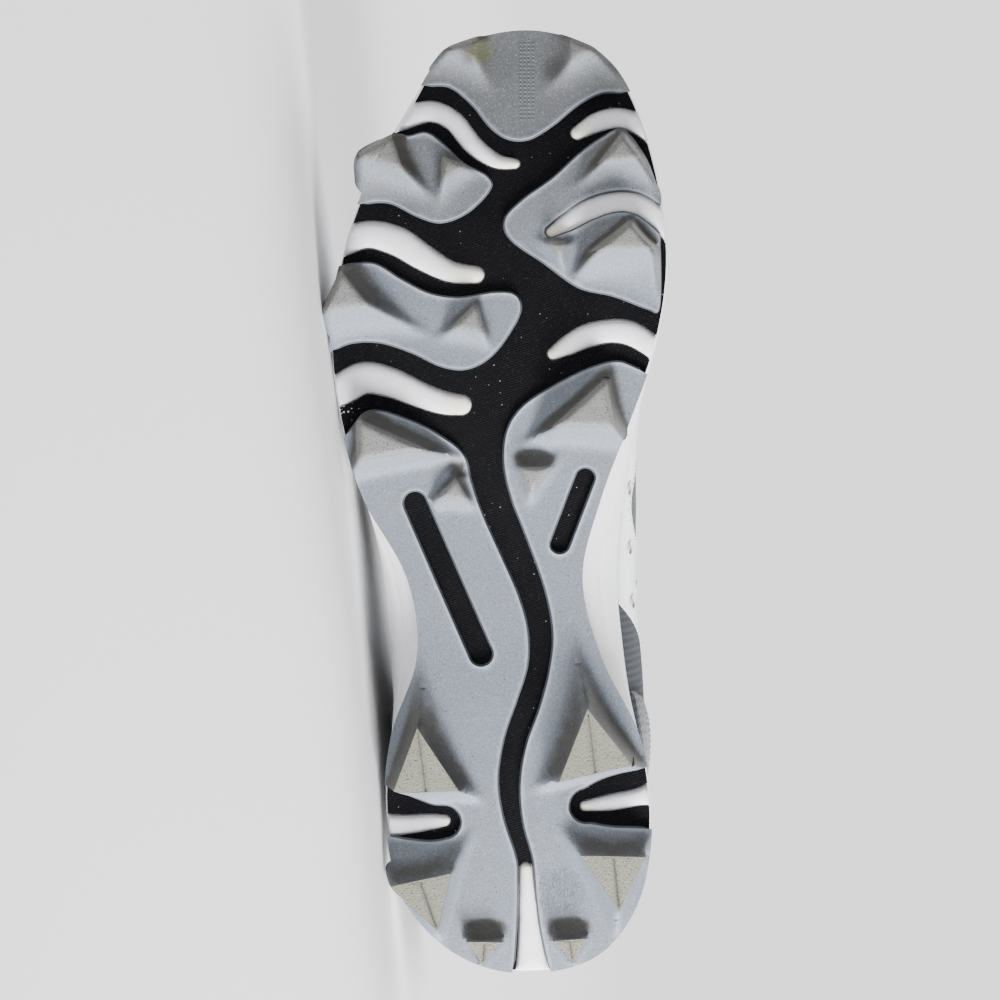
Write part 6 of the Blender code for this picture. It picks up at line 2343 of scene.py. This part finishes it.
@dataclass
class Footbed:
    """The thin insole, its top a little cupped."""

    palette: Palette
    last: LastShape
    thickness: float = 4.0
    clearance: float = 1.5
    pitch: float = 2.6

    def build(self) -> None:
        """Builds the insole."""
        at = np.arange(0, len(LAST), 0.25)
        loop = inset(self.last.lines(at)[:, 0, :2], WALL + self.clearance)
        sheet = FlatSheet(self.pitch)
        sheet.within(loop)
        flat, faces = sheet.build()
        edge = line_distance(flat, loop)
        base = high(flat[:, 0]) + GAP
        cup = 0.5 * smoothstep(-edge, -14.0, 0.0) - 0.8 * smoothstep(-edge, -1.6, 0.0)
        top = base + self.thickness - 0.5 + cup
        body = closed_body(flat, faces, base, top, 0 * base, {}, 0.4)
        body.kinds = [0] * len(body.faces)
        obj = body.piece("footbed", self.palette.footbed)
        layer = obj.data.uv_layers.new(name="cloth")
        corners = np.array([v for polygon in obj.data.polygons for v in polygon.vertices])
        layer.data.foreach_set("uv", body.points[corners, :2].astype(np.float32).ravel())
        face_outwards(obj)
        finish_piece(obj, "black_textile", "insole")


@dataclass
class Laces:
    """One flat lace: a bar at the vamp, five crossings, and its ends in the top eyelets."""

    palette: Palette
    last: LastShape
    width: float = 6.0
    thickness: float = 1.4
    tuck: float = 4.6
    drop: float = 0.8
    crowns: tuple[float, float] = (2.0, 3.6)

    def through(self, at: float, inward: Array) -> list[tuple]:
        """The lace's way under an edge, up through its eyelet and back over the edge."""
        downs = np.array((0.6, 5.0, 8.3, 8.4, 7.2, 3.6, 0.0))
        wall = WALL + 0.2
        lifts = np.array((-wall - 0.7, -wall - 0.6, -1.2, 1.2, 2.5, 2.75, 2.7))
        points, outs, _ = self.last.surface(np.full(7, at), downs, lifts)
        faces = [outs[0], outs[1], unit(outs[2] * 0.5 + inward), unit(inward - outs[3] * 0.3),
                 unit(-outs[4] + inward * 0.4), -outs[5], -outs[6]]
        widths = (5.4, 5.0, 4.0, 4.0, 4.8, 6.0, 6.0)
        depths = (1.0, 1.0, 1.7, 1.7, 1.5, 1.4, 1.4)
        return [list(row) for row in zip(points, faces, widths, depths)]

    def half(self, start: int, crown_first: int) -> list[list]:
        """The way from the bar to one top eyelet.

        Args:
            start: 0 for the lateral side first, 1 for the medial.
            crown_first: which crown the first crossing takes.

        Returns:
            Rows of point, flat side's way, width and thickness.
        """
        pairs = self.last.eyelets()
        rows, sign = [], 1.0
        side = start
        for i, pair in enumerate(pairs):
            edge, other = (self.last.surface(pair[k], 0.0)[0][0] for k in (side, 1 - side))
            inward = unit(other - edge)
            turn = self.through(pair[side], inward)
            if i == len(pairs) - 1:
                turn = turn[:4]
            if rows:
                before = rows[-1]
                at_edge, edge_out, _ = self.last.surface(pair[side], 0.0)
                far = at_edge[0] + inward * self.tuck
                crown = self.crowns[(crown_first + i) % 2]
                middle = (before[0] + far) / 2 + np.array((0.0, 0.0, crown))
                upward = np.array((0.0, 0.0, sign))
                rows.append([middle, upward, self.width, self.thickness])
                rows.append([far, edge_out[0] * sign, self.width, self.thickness])
            for row in turn:
                row[1] = row[1] * sign
                rows.append(row)
            sign = -sign
            side = 1 - side
        return rows

    def build(self) -> None:
        """Sweeps the flat lace along its whole way."""
        lateral, medial = self.half(0, 0), self.half(1, 1)
        at = self.last.eyelets()[0]
        ends = [self.last.surface(k, 0.0)[0][0] for k in at]
        outs = [self.last.surface(k, 0.0)[1][0] for k in at]
        across = unit(ends[1] - ends[0])
        low_by = np.array((0.0, 0.0, self.drop))
        bar = [
            [ends[0] + across * self.tuck - low_by, outs[0], self.width, self.thickness],
            [(ends[0] + ends[1]) / 2 - low_by * 0.4, unit(outs[0] + outs[1]), self.width, self.thickness],
            [ends[1] - across * self.tuck - low_by, outs[1], self.width, self.thickness],
        ]
        rows = [*lateral[::-1], *bar, *medial]
        table = np.array([[*p, *o, w, d] for p, o, w, d in rows])
        fine = catmull(table, np.linspace(0, len(table) - 1, (len(table) - 1) * 7 + 1), False)
        path, faces = fine[:, :3], unit(fine[:, 3:6])
        along = unit(np.gradient(path, axis=0))
        side = unit(np.cross(along, faces))
        up = np.cross(side, along)
        angles = np.linspace(0, 2 * np.pi, 14, endpoint=False)
        flat_x = np.sign(np.cos(angles)) * np.abs(np.cos(angles)) ** 0.45
        flat_y = np.sign(np.sin(angles)) * np.abs(np.sin(angles)) ** 0.8
        half_w, half_d = fine[:, 6:7, None] / 2, fine[:, 7:8, None] / 2
        wide, deep = side[:, None] * flat_x[:, None] * half_w, up[:, None] * flat_y[:, None] * half_d
        grid = path[:, None] + wide + deep
        run = np.cumsum(np.concatenate(((0.0,), np.linalg.norm(np.diff(path, axis=0), axis=1))))
        u = np.broadcast_to(np.append(flat_x, flat_x[0]) * self.width / 2, (len(fine), 15))
        uv = np.stack((u, np.broadcast_to(run[:, None], u.shape)), axis=-1)
        obj = grid_piece("lace", grid, [self.palette.lace], False, True, uv=uv)
        finish_piece(obj, "white_lace", "lace_bar", *(f"lace_cross_{i}" for i in range(1, 6)))


@dataclass
class ToeDots:
    """The double column of small dots down the middle of the toe pod."""

    palette: Palette
    repeats: Repeats
    span: tuple[float, float] = (271.0, 297.0)
    pitch: float = 1.3
    columns: tuple[float, ...] = (0.6, 1.9, 3.2, 4.5)
    radius: float = 0.4
    rise: float = 0.16

    def build(self) -> None:
        """Sets the dots."""
        x = np.arange(*self.span, self.pitch)
        xs, ys = (a.ravel() for a in np.meshgrid(x, self.columns))
        z = low(xs)
        slope = (low(xs + 0.5) - low(xs - 0.5))
        outs = unit(np.column_stack((slope, 0 * slope, -np.ones(len(slope)))))
        points = np.column_stack((xs, ys, z))
        self.repeats.fittings("toe_dots", Fitting.DOT, points, outs, self.radius, self.rise,
                              self.palette.dots, "grey_rubber")


# ---------------------------------------------------------------- the studio
@dataclass
class Studio:
    """The pale floor, the soft lights and the camera square on to the tread."""

    palette: Palette
    distance: float = 1.35
    picture_height: float = 316.8
    aim: tuple[float, float, float] = (149.8, -6.0, 12.0)
    floor_radius: float = 1.4
    floor_sides: int = 48
    lit_height: float = 0.05
    sensor: float = 36.0
    surround: float = 0.45
    seen_surround: float = 2.2

    def floor(self) -> None:
        """A wide floor under the shoe."""
        count = self.floor_sides
        turns = np.linspace(0, 2 * math.pi, count, endpoint=False)
        ring = [(self.floor_radius * math.cos(t), self.floor_radius * math.sin(t), 0.0) for t in turns]
        mesh = bpy.data.meshes.new("floor")
        faces = [(0, k + 1, (k + 1) % count + 1) for k in range(count)]
        mesh.from_pydata([(0.0, 0.0, 0.0), *ring], [], faces)
        mesh.materials.append(self.palette.floor)
        add_object("floor", mesh)

    def light(self, name: str, way: tuple[float, float, float], distance: float, size: float,
              power: float) -> None:
        """One square soft light.

        Args:
            name: its name.
            way: the world direction it stands in, from the shoe.
            distance: how far off, in metres.
            size: its side, in metres.
            power: in watts.
        """
        data = bpy.data.lights.new(name, "AREA")
        data.shape = "SQUARE"
        data.size = size
        data.energy = power
        obj = add_object(name, data)
        target = Vector((0.0, 0.0, self.lit_height))
        obj.location = Vector(way).normalized() * distance + target
        obj.rotation_mode = "QUATERNION"
        obj.rotation_quaternion = (obj.location - target).to_track_quat("Z", "Y")

    def lights(self) -> None:
        """A broad key from the heel's side, a fill, a back light and a white surround."""
        self.light("key", (-1.0, 0.55, 0.2), 1.6, 0.55, 112.0)
        self.light("fill", (0.1, 1.0, 0.35), 2.2, 1.4, 10.0)
        self.light("back", (0.2, -1.0, 1.1), 1.9, 1.4, 48.0)
        world = bpy.data.worlds.new("surround")
        bpy.context.scene.world = world
        world.use_nodes = True
        tree = world.node_tree
        sky = tree.nodes["Background"]
        sky.inputs["Color"].default_value = (1.0, 1.0, 1.0, 1.0)
        sky.inputs["Strength"].default_value = self.surround
        seen = tree.nodes.new("ShaderNodeBackground")
        seen.inputs["Strength"].default_value = self.seen_surround
        ray = tree.nodes.new("ShaderNodeLightPath")
        both = tree.nodes.new("ShaderNodeMixShader")
        tree.links.new(ray.outputs["Is Camera Ray"], both.inputs[0])
        tree.links.new(sky.outputs[0], both.inputs[1])
        tree.links.new(seen.outputs[0], both.inputs[2])
        tree.links.new(both.outputs[0], tree.nodes["World Output"].inputs["Surface"])

    def camera(self) -> None:
        """Square on to the tread face, toe up, the medial side on the right."""
        data = bpy.data.cameras.new("camera")
        data.sensor_width = self.sensor
        data.lens = self.sensor * self.distance / (self.picture_height * MM)
        obj = add_object("camera", data)
        right = SHOE.direction((0.0, 1.0, 0.0))
        up = SHOE.direction((1.0, 0.0, 0.0))
        back = SHOE.direction((0.0, 0.0, -1.0))
        target = Vector(SHOE.place(np.array([self.aim]))[0])
        turn = Matrix((right, up, back)).transposed().to_4x4()
        obj.matrix_world = Matrix.Translation(target + back * self.distance) @ turn
        bpy.context.scene.camera = obj

    def build(self) -> None:
        """Sets up the whole studio."""
        self.floor()
        self.lights()
        self.camera()


def main() -> None:
    """Builds the shoe in a maker's order, then the studio."""
    logging.basicConfig(level=logging.INFO, format="%(name)s %(message)s")
    palette = Palette()
    Outsole(palette).build()
    Midsole(palette).build()
    last, repeats = LastShape(), Repeats()
    ToeDots(palette, repeats).build()
    Upper(palette, last, repeats).build()
    Tongue(palette, last, repeats).build()
    Footbed(palette, last).build()
    Laces(palette, last).build()
    Studio(palette).build()


if __name__ == "__main__":
    main()
